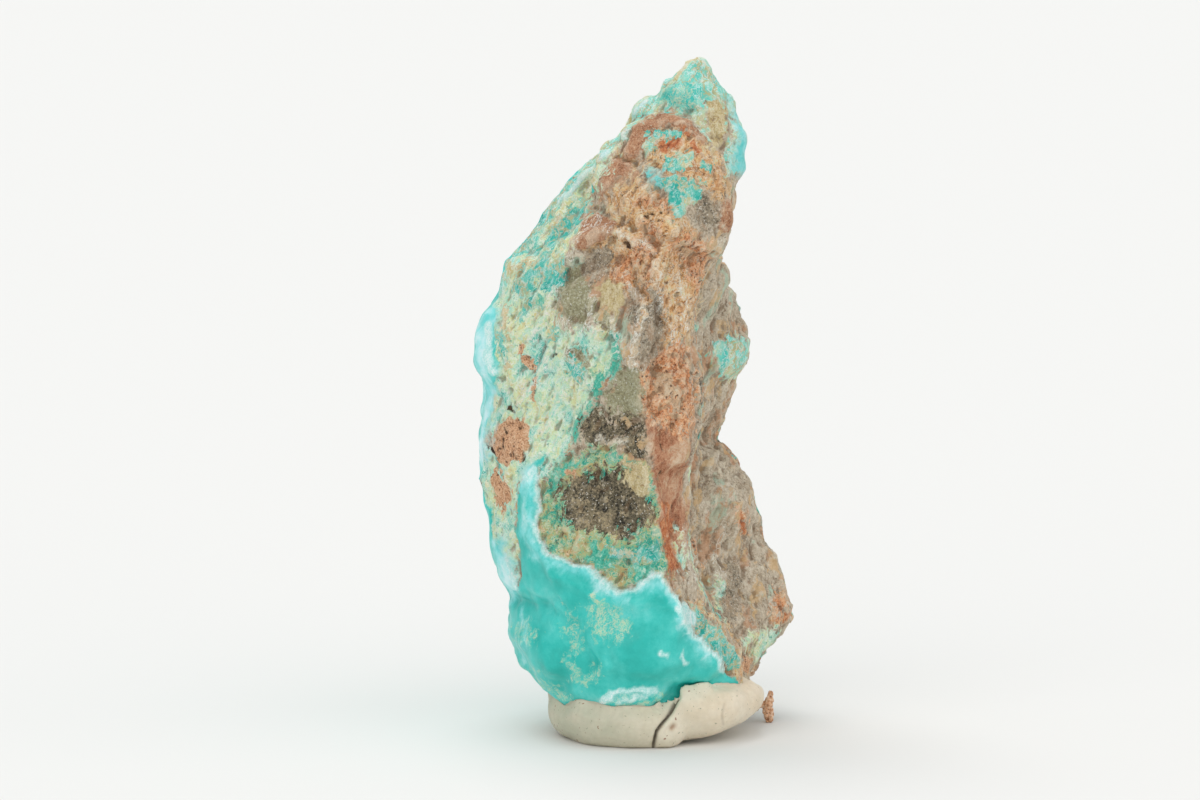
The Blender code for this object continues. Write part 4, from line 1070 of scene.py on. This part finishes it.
# %% Colours of the stone
RAMPS = {
    "grey": (0.3 * streaks + 0.3 * slow_streaks + 0.2 * grain_value + 0.2 * fleck, [
        (0.15, (126, 108, 90)), (0.32, (164, 147, 125)), (0.48, (191, 175, 152)), (0.62, (208, 194, 172)),
        (0.8, (228, 219, 202))]),
    "tan": (0.45 * curdle + 0.2 * streaks + 0.15 * grain_value + 0.2 * fleck, [
        (0.12, (106, 70, 42)), (0.30, (170, 118, 72)), (0.46, (212, 162, 108)), (0.60, (230, 192, 142)),
        (0.72, (212, 204, 160)), (0.88, (246, 238, 212))]),
    "orange": (0.4 * curdle + 0.15 * streaks + 0.2 * grain_value + 0.25 * fleck, [
        (0.15, (84, 48, 30)), (0.32, (158, 96, 60)), (0.48, (206, 136, 90)), (0.62, (226, 168, 122)),
        (0.82, (242, 216, 182))]),
    "red": (0.4 * slow_streaks + 0.35 * streaks + 0.25 * fleck, [
        (0.15, (112, 62, 42)), (0.35, (164, 106, 76)), (0.52, (190, 138, 106)), (0.68, (204, 166, 134)),
        (0.85, (218, 192, 164))]),
    "mauve": (0.25 * slow_curdle + 0.3 * streaks + 0.45 * fleck, [
        (0.15, (122, 82, 56)), (0.38, (166, 116, 84)), (0.6, (188, 138, 104)), (0.85, (212, 178, 144))]),
    "sage": (0.48 * slow_streaks + 0.18 * slow_curdle + 0.14 * streaks + 0.1 * curdle + 0.1 * fleck, [
        (0.18, (70, 182, 168)), (0.29, (128, 212, 194)), (0.39, (186, 230, 206)), (0.50, (212, 236, 198)),
        (0.62, (222, 230, 178)), (0.73, (216, 206, 148)), (0.86, (240, 238, 216))]),
    "mossy": (0.45 * slow_curdle + 0.35 * curdle + 0.2 * fleck, [
        (0.22, (38, 156, 138)), (0.36, (88, 184, 158)), (0.47, (158, 194, 148)), (0.60, (190, 188, 134)),
        (0.74, (200, 164, 114)), (0.88, (228, 216, 180))]),
    "emerald": (0.4 * curdle + 0.4 * streaks + 0.2 * fleck, [
        (0.2, (22, 128, 106)), (0.42, (54, 172, 148)), (0.62, (104, 202, 178)), (0.84, (196, 228, 208))]),
    "olive": (0.3 * grain_value + 0.4 * slow_curdle + 0.3 * fleck, [
        (0.2, (124, 118, 90)), (0.45, (150, 146, 114)), (0.65, (166, 162, 130)), (0.85, (192, 190, 164))]),
    "buff": (0.35 * curdle + 0.35 * fleck + 0.3 * streaks, [
        (0.15, (150, 120, 80)), (0.38, (192, 170, 122)), (0.6, (210, 194, 148)), (0.85, (232, 220, 188))]),
    "ashen": (0.3 * grain_value + 0.3 * slow_curdle + 0.2 * curdle + 0.2 * fleck, [
        (0.2, (92, 84, 70)), (0.38, (136, 124, 104)), (0.52, (164, 151, 130)), (0.66, (180, 160, 134)),
        (0.82, (218, 208, 190))]),
    "dark": (0.3 * grain_value + 0.25 * slow_curdle + 0.25 * curdle + 0.2 * fleck, [
        (0.22, (34, 31, 23)), (0.38, (70, 65, 51)), (0.50, (98, 91, 74)), (0.62, (130, 119, 96)),
        (0.78, (186, 168, 134))]),
    "rust": (0.4 * curdle + 0.6 * fleck, [
        (0.12, (110, 72, 50)), (0.32, (192, 142, 104)), (0.55, (220, 172, 134)), (0.85, (234, 202, 168))]),
    "ember": (0.4 * curdle + 0.3 * streaks + 0.3 * fleck, [
        (0.2, (132, 66, 40)), (0.45, (186, 108, 68)), (0.65, (208, 138, 92)), (0.85, (228, 182, 140))]),
    "teal": (0.4 * slow_streaks + 0.25 * slow_curdle + 0.2 * curdle + 0.15 * fleck, [
        (0.2, (30, 160, 146)), (0.42, (60, 186, 172)), (0.58, (104, 202, 186)), (0.68, (160, 214, 192)),
        (0.76, (204, 196, 146)), (0.9, (228, 216, 182))]),
    "crust": (0.6 * clouds + 0.3 * slow_curdle + 0.1 * fleck, [
        (0.15, (28, 181, 171)), (0.4, (42, 193, 183)), (0.62, (66, 204, 195)), (0.88, (106, 216, 209))]),
    "aqua": (0.5 * slow_streaks + 0.3 * slow_curdle + 0.2 * curdle, [
        (0.18, (84, 206, 192)), (0.40, (124, 220, 204)), (0.56, (156, 228, 212)), (0.67, (202, 226, 190)),
        (0.78, (212, 200, 150)), (0.92, (230, 222, 190))]),
    "veil": (0.4 * slow_curdle + 0.3 * curdle + 0.3 * fleck, [
        (0.25, (54, 194, 184)), (0.5, (84, 204, 192)), (0.7, (134, 214, 192)), (0.88, (190, 218, 184))]),
    "vein": (0.5 * streaks + 0.5 * fleck, [
        (0.2, (214, 212, 198)), (0.5, (234, 234, 224)), (0.8, (248, 248, 242))]),
    # the pale fringe of the white band, and along the left edge a painted glow of light
    "pale": (0.7 * slow_curdle + 0.3 * clouds, [
        (0.2, (104, 218, 216)), (0.5, (152, 230, 230)), (0.8, (206, 241, 243))]),
    "white": (0.5 * streaks + 0.5 * fleck, [
        (0.15, (160, 222, 217)), (0.5, (200, 236, 232)), (0.85, (236, 247, 245))]),
    # the pits' near-black colour is painted shade
    "pit": (fleck, [(0.2, (30, 22, 16)), (0.8, (74, 54, 40))]),
}
print("ramps of colour:", len(RAMPS))

# %% Veins and specks in the colours
# the pale specks laid in the mauve, olive, ashen and dark finishes are painted glints
LAYERS = {
    "grey": [(web, (220, 214, 196), 0.45), (pit_shade_specks, (88, 66, 46), 0.5)],
    "tan": [(blots, (206, 150, 106), 0.4), (web, (236, 232, 214), 0.6), (fibres, (242, 222, 186), 0.4),
            (pit_shade_specks, (84, 54, 34), 0.7)],
    "orange": [(blots, (190, 178, 150), 0.55), (fibres, (238, 206, 166), 0.4), (web, (222, 214, 194), 0.35),
               (pit_shade_specks, (70, 44, 28), 0.8)],
    "red": [(fibres, (214, 168, 130), 0.35)],
    "mauve": [(glints_and_specks, (224, 202, 178), 0.55), (pit_shade_specks, (124, 82, 60), 0.5), (web, (204, 174, 148), 0.3)],
    "sage": [(web, (240, 248, 240), 0.6), (fibres, (240, 248, 236), 0.65), (wide_web, (112, 206, 190), 0.35),
             (pit_shade_specks, (40, 146, 132), 0.6)],
    "mossy": [(glints_and_specks, (116, 100, 70), 0.6), (web, (230, 230, 204), 0.55), (pit_shade_specks, (34, 128, 108), 0.7)],
    "olive": [(glints_and_specks, (226, 226, 214), 0.7), (web, (206, 206, 184), 0.35), (pit_shade_specks, (112, 104, 76), 0.5)],
    "buff": [(fibres, (238, 230, 204), 0.4), (pit_shade_specks, (146, 104, 64), 0.5)],
    "ashen": [(blots, (168, 138, 110), 0.5), (glints_and_specks, (236, 232, 222), 0.7), (web, (214, 206, 190), 0.4),
              (pit_shade_specks, (78, 66, 52), 0.7)],
    "dark": [(blots, (158, 144, 114), 0.35), (glints_and_specks, (232, 228, 218), 0.8), (pit_shade_specks, (34, 30, 24), 0.8),
             (web, (172, 158, 128), 0.4)],
    "rust": [(pit_shade_specks, (70, 46, 32), 0.8)],
    "ember": [(pit_shade_specks, (96, 50, 32), 0.6)],
    "teal": [(wide_web, (208, 186, 134), 0.75), (fibres, (226, 244, 240), 0.5)],
    "aqua": [(web, (214, 210, 168), 0.5), (wide_web, (200, 178, 118), 0.8), (fibres, (240, 249, 247), 0.6)],
    "veil": [(fibres, (222, 220, 184), 0.6), (web, (206, 214, 180), 0.4)],
}
print("layers in the colours:", sum(len(layers) for layers in LAYERS.values()))

# %% [markdown]
# ### How the finishes meet
#
# The deepest finish is grey rock with broad stains. Every other one is laid over it where its depth is above
# nought. A depth alone would draw a clean line, so two noises shake it first. EDGES says for each finish by
# how many millimetres they shake it, which frays the edge, and over how many it fades in, which softens it.
# The mauve plates end nearly clean, and the brown matrix is frayed. The fibres show only as single threads.

# %% Covering one finish with the next
EDGES = {
    "tan": (1.6, 0.5), "red": (1.0, 0.5), "orange": (1.4, 0.35), "mauve": (0.35, 0.12), "sage": (1.2, 0.35),
    "mossy": (0.9, 0.3), "emerald": (1.2, 0.35), "olive": (1.1, 0.3), "ashen": (1.2, 0.35),
    "dark": (1.5, 0.2), "buff": (0.9, 0.25), "rust": (0.4, 0.10), "ember": (0.5, 0.14), "teal": (0.7, 0.12),
    "crust": (0.2, 0.14), "aqua": (1.0, 0.3), "veil": (1.3, 0.5), "vein": (0.6, 0.3), "pale": (0.5, 0.7),
    "white": (0.14, 0.26), "pit": (0.15, 0.08),
}
THREAD_STRENGTH = 0.9
# for each stain the size of its noise, how high that has to rise, the colour, and how much of it shows
STAINS = {
    "rusty": (2.4, 0.57, (200, 146, 106), 0.65),
    "verdigris": (2.9, 0.61, (176, 210, 188), 0.6),
    "ochre": (1.6, 0.58, (216, 180, 130), 0.7),
}
STAIN_APART = 7.0


def stain(recipe, size, threshold, colour, strength, under):
    """A colour with stains of another laid over it, where a slow noise passes a threshold."""
    apart = (size * STAIN_APART, 0.0, 0.0)
    moved = recipe.add("ShaderNodeVectorMath", {"operation": "ADD"}, {0: along, 1: apart})
    where = recipe.step(recipe.noise(moved, size, 5.0, 0.62), threshold - 0.03, threshold + 0.05)
    return recipe.mix(where * strength, under, colour)


def colour_of(recipe, finish):
    """The colour of one finish: its ramp, and then the veins and specks that lie in it."""
    field, stops = RAMPS[finish]
    colour = recipe.ramp(field, *[(place, paint(*shade)) for place, shade in stops])
    for mask, shade, strength in LAYERS.get(finish, []):
        colour = recipe.mix(mask * strength, colour, paint(*shade))
    return colour


skin_colour = colour_of(stone, "grey")
for size, threshold, shade, strength in STAINS.values():
    skin_colour = stain(stone, size, threshold, paint(*shade), strength, skin_colour)
covers = {}
for finish in FINISHES:
    reach, softness = EDGES[finish]
    ragged = stone.kept(finish) + (curdle - 0.5) * reach + (streaks - 0.5) * reach
    covers[finish] = stone.step(ragged, -softness, softness)
    if finish == "vein":
        covers[finish] = covers[finish] * silk * THREAD_STRENGTH
    skin_colour = stone.mix(covers[finish], skin_colour, colour_of(stone, finish))
print("the stone's colour takes", len(stone.tree.nodes), "nodes")

# %% [markdown]
# ### Crests, hollows and gloss
#
# On the matrix, hollows are painted darker as shade and crests paler, partly as rubbed stone and partly as a
# painted highlight, which ties the colours to the relief. The crust reflects a soft window of light and lets a
# little light in, while the matrix is dull, so the two are separate shaders and the cover of the crust decides
# which one shows.

# %% Shaders of the stone
# painted shade for the hollows, and a pale colour for the crests that is partly rubbed stone and partly
# painted highlight
HOLLOW_SHADE, HOLLOW_SHADE_SHARE = paint(110, 84, 58), 0.55
WEAR_AND_HIGHLIGHT, WEAR_AND_HIGHLIGHT_SHARE = paint(244, 232, 206), 0.34

crest_value = stone.kept("crest")
hollow_shade = stone.step(crest_value, -0.5, -2.4)
wear_and_highlight = stone.step(crest_value, 0.7, 2.6)
matrix = 1 - covers["crust"]
# the matrix gets painted shade in its hollows, then paler crests as rubbed stone and painted highlight
skin_colour = stone.mix(hollow_shade * matrix * HOLLOW_SHADE_SHARE, skin_colour, HOLLOW_SHADE)
skin_colour = stone.mix(wear_and_highlight * matrix * WEAR_AND_HIGHLIGHT_SHARE, skin_colour, WEAR_AND_HIGHLIGHT)
height = curdle * 0.35 + streaks * 0.25 + fleck * 0.25 + grain_value * 0.15
matrix_shader = stone.surface({
    "Base Color": skin_colour, "Roughness": 0.75, "Specular IOR Level": 0.35,
    "Normal": stone.bump(height, 1.0, 0.22),
})
crust_shader = stone.surface({
    "Base Color": skin_colour, "Roughness": 0.36, "Specular IOR Level": 0.45,
    "Normal": stone.bump(height, 0.3, 0.03),
    "Subsurface Weight": 0.5, "Subsurface Radius": (0.5, 1.0, 1.0), "Subsurface Scale": 1.2 * MM,
})
stone.show(stone.add("ShaderNodeMixShader", {}, {0: covers["crust"], 1: matrix_shader, 2: crust_shader}))
print("the stone's finish has", len(stone.tree.nodes), "nodes")

# %% The dressed stone
def dress(mesh, name, recipe, node):
    """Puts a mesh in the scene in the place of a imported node, with its finish."""
    mesh.name = name
    mesh.materials.append(recipe.material)
    piece = bpy.data.objects.new(name, mesh)
    bpy.context.scene.collection.objects.link(piece)
    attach(piece, "root")
    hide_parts(node)
    print(name, "takes the place of", node)


dress(stone_mesh, "stone_skin", stone, "hemimorphite_stone")

# %% [markdown]
# ## The mounting putty
#
# The putty is a soft roll that was bent round, laid down and pressed under the stone. Where its two ends lap
# there is an S-shaped crease. Its right end doesn't quite touch the ground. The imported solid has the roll,
# and the skin adds what pressing does: the crease with one lip over the other, a rim squeezed up against the
# stone, small dents and a hole. The skin is moved point by point, as the stone's is, because a crease as thin
# as this one needs cells finer than its width, and nothing coarser would show it.

# %% The roll and its lifted end
PUTTY_CELL = 0.16
PUTTY_EVENINGS = 14
LIFT_FROM, LIFT_SLOPE, LIFT_HEIGHT = 1.5, 0.15, 5.0
END_FROM, END_FULL, END_TRIM = 8.5, 10.5, 0.35

putty_mesh = even_skin("putty_base", PUTTY_CELL, PUTTY_EVENINGS)
putty_points = numbers(putty_mesh, "co")
lift = np.clip(putty_points[:, 0] - LIFT_FROM, 0.0, None) * LIFT_SLOPE
putty_points[:, 2] += lift * np.clip(1.0 - putty_points[:, 2] / LIFT_HEIGHT, 0.0, 1.0)
putty_points[:, 0] -= END_TRIM * smooth_step(END_FROM, END_FULL, putty_points[:, 0])
put_points(putty_mesh, putty_points)
print("the putty's skin has", len(putty_mesh.polygons), "cells, and its right end is lifted by up to",
      lift.max().round(2), "mm")

# %% The crease, its lip and the dents
CREASE = [(2.9, 5.6), (2.6, 4.4), (2.1, 3.3), (1.5, 2.2), (0.9, 1.4), (0.2, 0.4), (-0.2, -1.2)]
CREASE_DEPTH, CREASE_HALF = 0.65, 0.17
LIP_RISE, LIP_WIDTH, LIP_START = 0.22, 1.6, (-0.1, 0.2)
PUTTY_HOLE, HOLE_SIZE, HOLE_DEPTH = [(1.7, 0.8), (1.9, 1.0)], 0.28, 0.35
CRACK, CRACK_SIZE, CRACK_DEPTH = [(6.9, 3.2), (6.7, 2.2), (6.8, 1.2)], 0.12, 0.05
# for each noise its size, octaves, shift and reach
DENTS = ((4.5, 2, 2.7, 0.16), (0.9, 3, 6.1, 0.03))
FRONT_FROM, FRONT_FULL = 0.1, -0.3
FOOT_HEIGHT = 0.4


def trough(places, path, size):
    """1 along a path on the face map, falling to 0 beside it."""
    return np.exp(-((to_path(places, path) / size) ** 2))


putty_facings = numbers(putty_mesh, "normal")
putty_places = face_map(putty_points)
towards_front = smooth_step(FRONT_FROM, FRONT_FULL, putty_facings[:, 1])
crease_x = np.interp(putty_places[:, 1], [y for _, y in CREASE[::-1]], [x for x, _ in CREASE[::-1]])
right_of_crease = putty_places[:, 0] - crease_x
groove = trough(putty_places, CREASE, CREASE_HALF)
hole = trough(putty_places, PUTTY_HOLE, HOLE_SIZE)
crack = trough(putty_places, CRACK, CRACK_SIZE)
lip = LIP_RISE * smooth_step(*LIP_START, right_of_crease) * np.exp(-right_of_crease.clip(0.0) / LIP_WIDTH)
dents = sum(waves(putty_points, size, octaves, shift) * reach for size, octaves, shift, reach in DENTS)
marks = lip - CREASE_DEPTH * groove - HOLE_DEPTH * hole - CRACK_DEPTH * crack
moved = dents + towards_front * marks
above_foot = smooth_step(0.0, FOOT_HEIGHT, putty_points[:, 2])
putty_points += putty_facings * (moved * above_foot)[:, None]
print("the putty's surface is moved by", moved.min().round(2), "to", moved.max().round(2), "mm")

# %% [markdown]
# ### Where putty and stone meet
#
# Putty that is pressed against a stone wells up and clings to it. Each point of the putty's skin looks for
# the nearest place on the finished stone, and the closer it is, the more it is drawn there, so that no gap
# shows. Two rounds of smoothing then take the steps out of the rim, but leave the crease sharp.

# %% The squeezed rim
SQUEEZE_REACH, SQUEEZE_GAP = 1.5, 0.03
RIM_ROUNDS, RIM_SHARE = 2, 0.4

finished_stone = surface_of(stone_mesh)
squeezed = 0
for i, p in enumerate(putty_points):
    touch, facing, _, away = finished_stone.find_nearest(Vector(p) * MM, SQUEEZE_REACH * MM)
    if touch is None:
        continue
    outside = (Vector(p) * MM - touch).dot(facing) > 0
    share = smooth_step(SQUEEZE_REACH, 0.5 * SQUEEZE_REACH, away / MM) * above_foot[i] * (1.0 - groove[i])
    if outside and away > SQUEEZE_GAP * MM:
        target = np.array(touch + facing * SQUEEZE_GAP * MM) / MM
        putty_points[i] += (target - p) * share
        squeezed += 1
put_points(putty_mesh, putty_points)
for _ in range(RIM_ROUNDS):
    to_mean = neighbours_mean(putty_mesh, putty_points) - putty_points
    putty_points += to_mean * RIM_SHARE * (1.0 - groove)[:, None]
put_points(putty_mesh, putty_points)
for name, mark in {"crease": groove, "hole": hole, "crack": crack}.items():
    keep(putty_mesh, name, mark * towards_front)
# how far to the right a point lies: the putty is painted in shade at the left end and lit at the right
keep(putty_mesh, "warmth", smooth_step(-7.0, 7.0, putty_points[:, 0]))
print(squeezed, "points of the putty are drawn to the stone")

# %% [markdown]
# ### The putty's finish
#
# Old putty is a warm off-white with a dull skin. Its colour is painted darker and greener at the left end, as
# shade with a painted green reflection of the crust beside it, and lighter and rosier at the other end. The
# crease and a crack are painted darker as shade, and the putty has picked up green and red-brown crumbs of the
# stone.

# %% Finish of the putty
putty = Recipe("cream_putty")
putty_spot = putty.places()
putty_clouds = putty.mottle(putty_spot, 3.0, 4.0)
putty_grain = putty.mottle(putty_spot, 0.5, 4.0, 0.6)
gathered = putty.noise(putty_spot, 0.45, 1.0, 0.5) + (putty_clouds - 0.5) * 0.06
# a shaded copy of the putty's colour, with a painted green reflection of the crust, and a lit copy
shaded_putty = putty.ramp(putty_clouds, (0.1, paint(196, 194, 172)), (0.9, paint(214, 207, 186)))
lit_putty = putty.ramp(putty_clouds, (0.1, paint(228, 213, 188)), (0.9, paint(238, 227, 206)))
PUTTY_MARKS = {
    "grain": (putty_grain * 0.12, (150, 136, 110)),
    "green_dust": (putty.specks(putty_spot, 0.28, 0.70, 0.76) * 0.55, (128, 132, 100)),
    "brown_crumbs": (putty.step(gathered, 0.73, 0.77) * 0.8, (142, 92, 66)),
    # the crack is painted a little darker, as shade in it
    "crack": (putty.kept("crack") * 0.25, (120, 100, 76)),
    "hole": (putty.kept("hole") * 0.7, (150, 104, 66)),
    # the crease is painted dark, as the shade in the fold
    "crease": (putty.step(putty.kept("crease"), 0.15, 0.9) * 0.85, (74, 62, 46)),
}
putty_colour = putty.mix(putty.kept("warmth"), shaded_putty, lit_putty)
for mask, shade in PUTTY_MARKS.values():
    putty_colour = putty.mix(mask, putty_colour, paint(*shade))
putty.show(putty.surface({
    "Base Color": putty_colour, "Roughness": 0.62, "Specular IOR Level": 0.3,
    "Normal": putty.bump(putty_grain, 0.4, 0.05),
    "Subsurface Weight": 0.15, "Subsurface Radius": (1.0, 0.8, 0.6), "Subsurface Scale": 0.5 * MM,
}))
dress(putty_mesh, "putty_skin", putty, "putty_base")

# %% [markdown]
# ## The crumb
#
# The crumb broke off the rust-brown matrix and stuck to the end of the putty. It stands on one leg, leans on
# the putty with an arm, and is as rough as the rock that it came from. Its lumps are stretched spheres that
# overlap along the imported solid. A Remesh modifier makes one closed skin of them, and small leaning facets
# break the skin up.

# %% Shape of the crumb
CRUMB_CELL = 0.07
# for each lump its place on the face map, and half its size across, deep and high
CRUMB_LUMPS = [
    ((11.85, 3.70), (0.40, 0.36, 0.42)), ((11.70, 3.15), (0.56, 0.48, 0.50)),
    ((11.45, 2.65), (0.72, 0.55, 0.50)), ((10.25, 2.25), (0.46, 0.40, 0.30)),
    ((10.85, 2.60), (0.55, 0.42, 0.36)), ((11.55, 2.05), (0.58, 0.48, 0.52)),
    ((11.70, 1.55), (0.52, 0.44, 0.48)), ((11.75, 1.15), (0.46, 0.40, 0.38)),
]
crumb_low, crumb_high = (np.array(corner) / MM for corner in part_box("rust_crumb"))
crumb_depth = (crumb_low[1] + crumb_high[1]) / 2
print("the crumb's node:", crumb_low.round(2).tolist(), crumb_high.round(2).tolist())
lumps = bmesh.new()
for (across, height), half_sizes in CRUMB_LUMPS:
    upright = (height - crumb_depth * math.sin(VIEW_DOWN)) / math.cos(VIEW_DOWN)
    middle = Vector((across, crumb_depth, upright))
    lump = bmesh.ops.create_icosphere(lumps, subdivisions=3, radius=1.0)["verts"]
    for corner in lump:
        corner.co = (Vector(c * h for c, h in zip(corner.co, half_sizes)) + middle) * MM
crumb_mesh = bpy.data.meshes.new("crumb_lumps")
lumps.to_mesh(crumb_mesh)
lumps.free()
crumb_mesh = with_modifier(crumb_mesh, "REMESH", mode="VOXEL", voxel_size=CRUMB_CELL * MM)
crumb_points = numbers(crumb_mesh, "co")
crumb_relief = chips(crumb_points, 0.5) * 0.14 + waves(crumb_points, 0.25, 2) * 0.03
crumb_points += numbers(crumb_mesh, "normal") * crumb_relief[:, None]
crumb_points[:, 2] = np.maximum(crumb_points[:, 2], 0.0)
put_points(crumb_mesh, crumb_points)
crumb_mesh.shade_smooth()
print("crumb:", len(crumb_mesh.polygons), "cells from", crumb_points.min(axis=0).round(2).tolist(), "to",
      crumb_points.max(axis=0).round(2).tolist())

# %% Finish of the crumb
crumb = Recipe("rust_matrix")
crumb_spot = crumb.places()
crumb_grain = crumb.mottle(crumb_spot, 0.3, 4.0, 0.65)
crumb_colour = crumb.ramp(
    crumb_grain, (0.1, paint(160, 104, 72)), (0.4, paint(212, 160, 122)), (0.7, paint(232, 190, 156)),
    (0.95, paint(240, 216, 192)),
)
crumb_specks = crumb.specks(crumb_spot, 0.22, 0.62, 0.68)
crumb_colour = crumb.mix(crumb_specks * 0.6, crumb_colour, paint(86, 56, 40))
crumb_bump = crumb.bump(crumb_grain, 0.7, 0.06)
crumb.show(crumb.surface({"Base Color": crumb_colour, "Roughness": 0.85, "Normal": crumb_bump}))
dress(crumb_mesh, "crumb_skin", crumb, "rust_crumb")
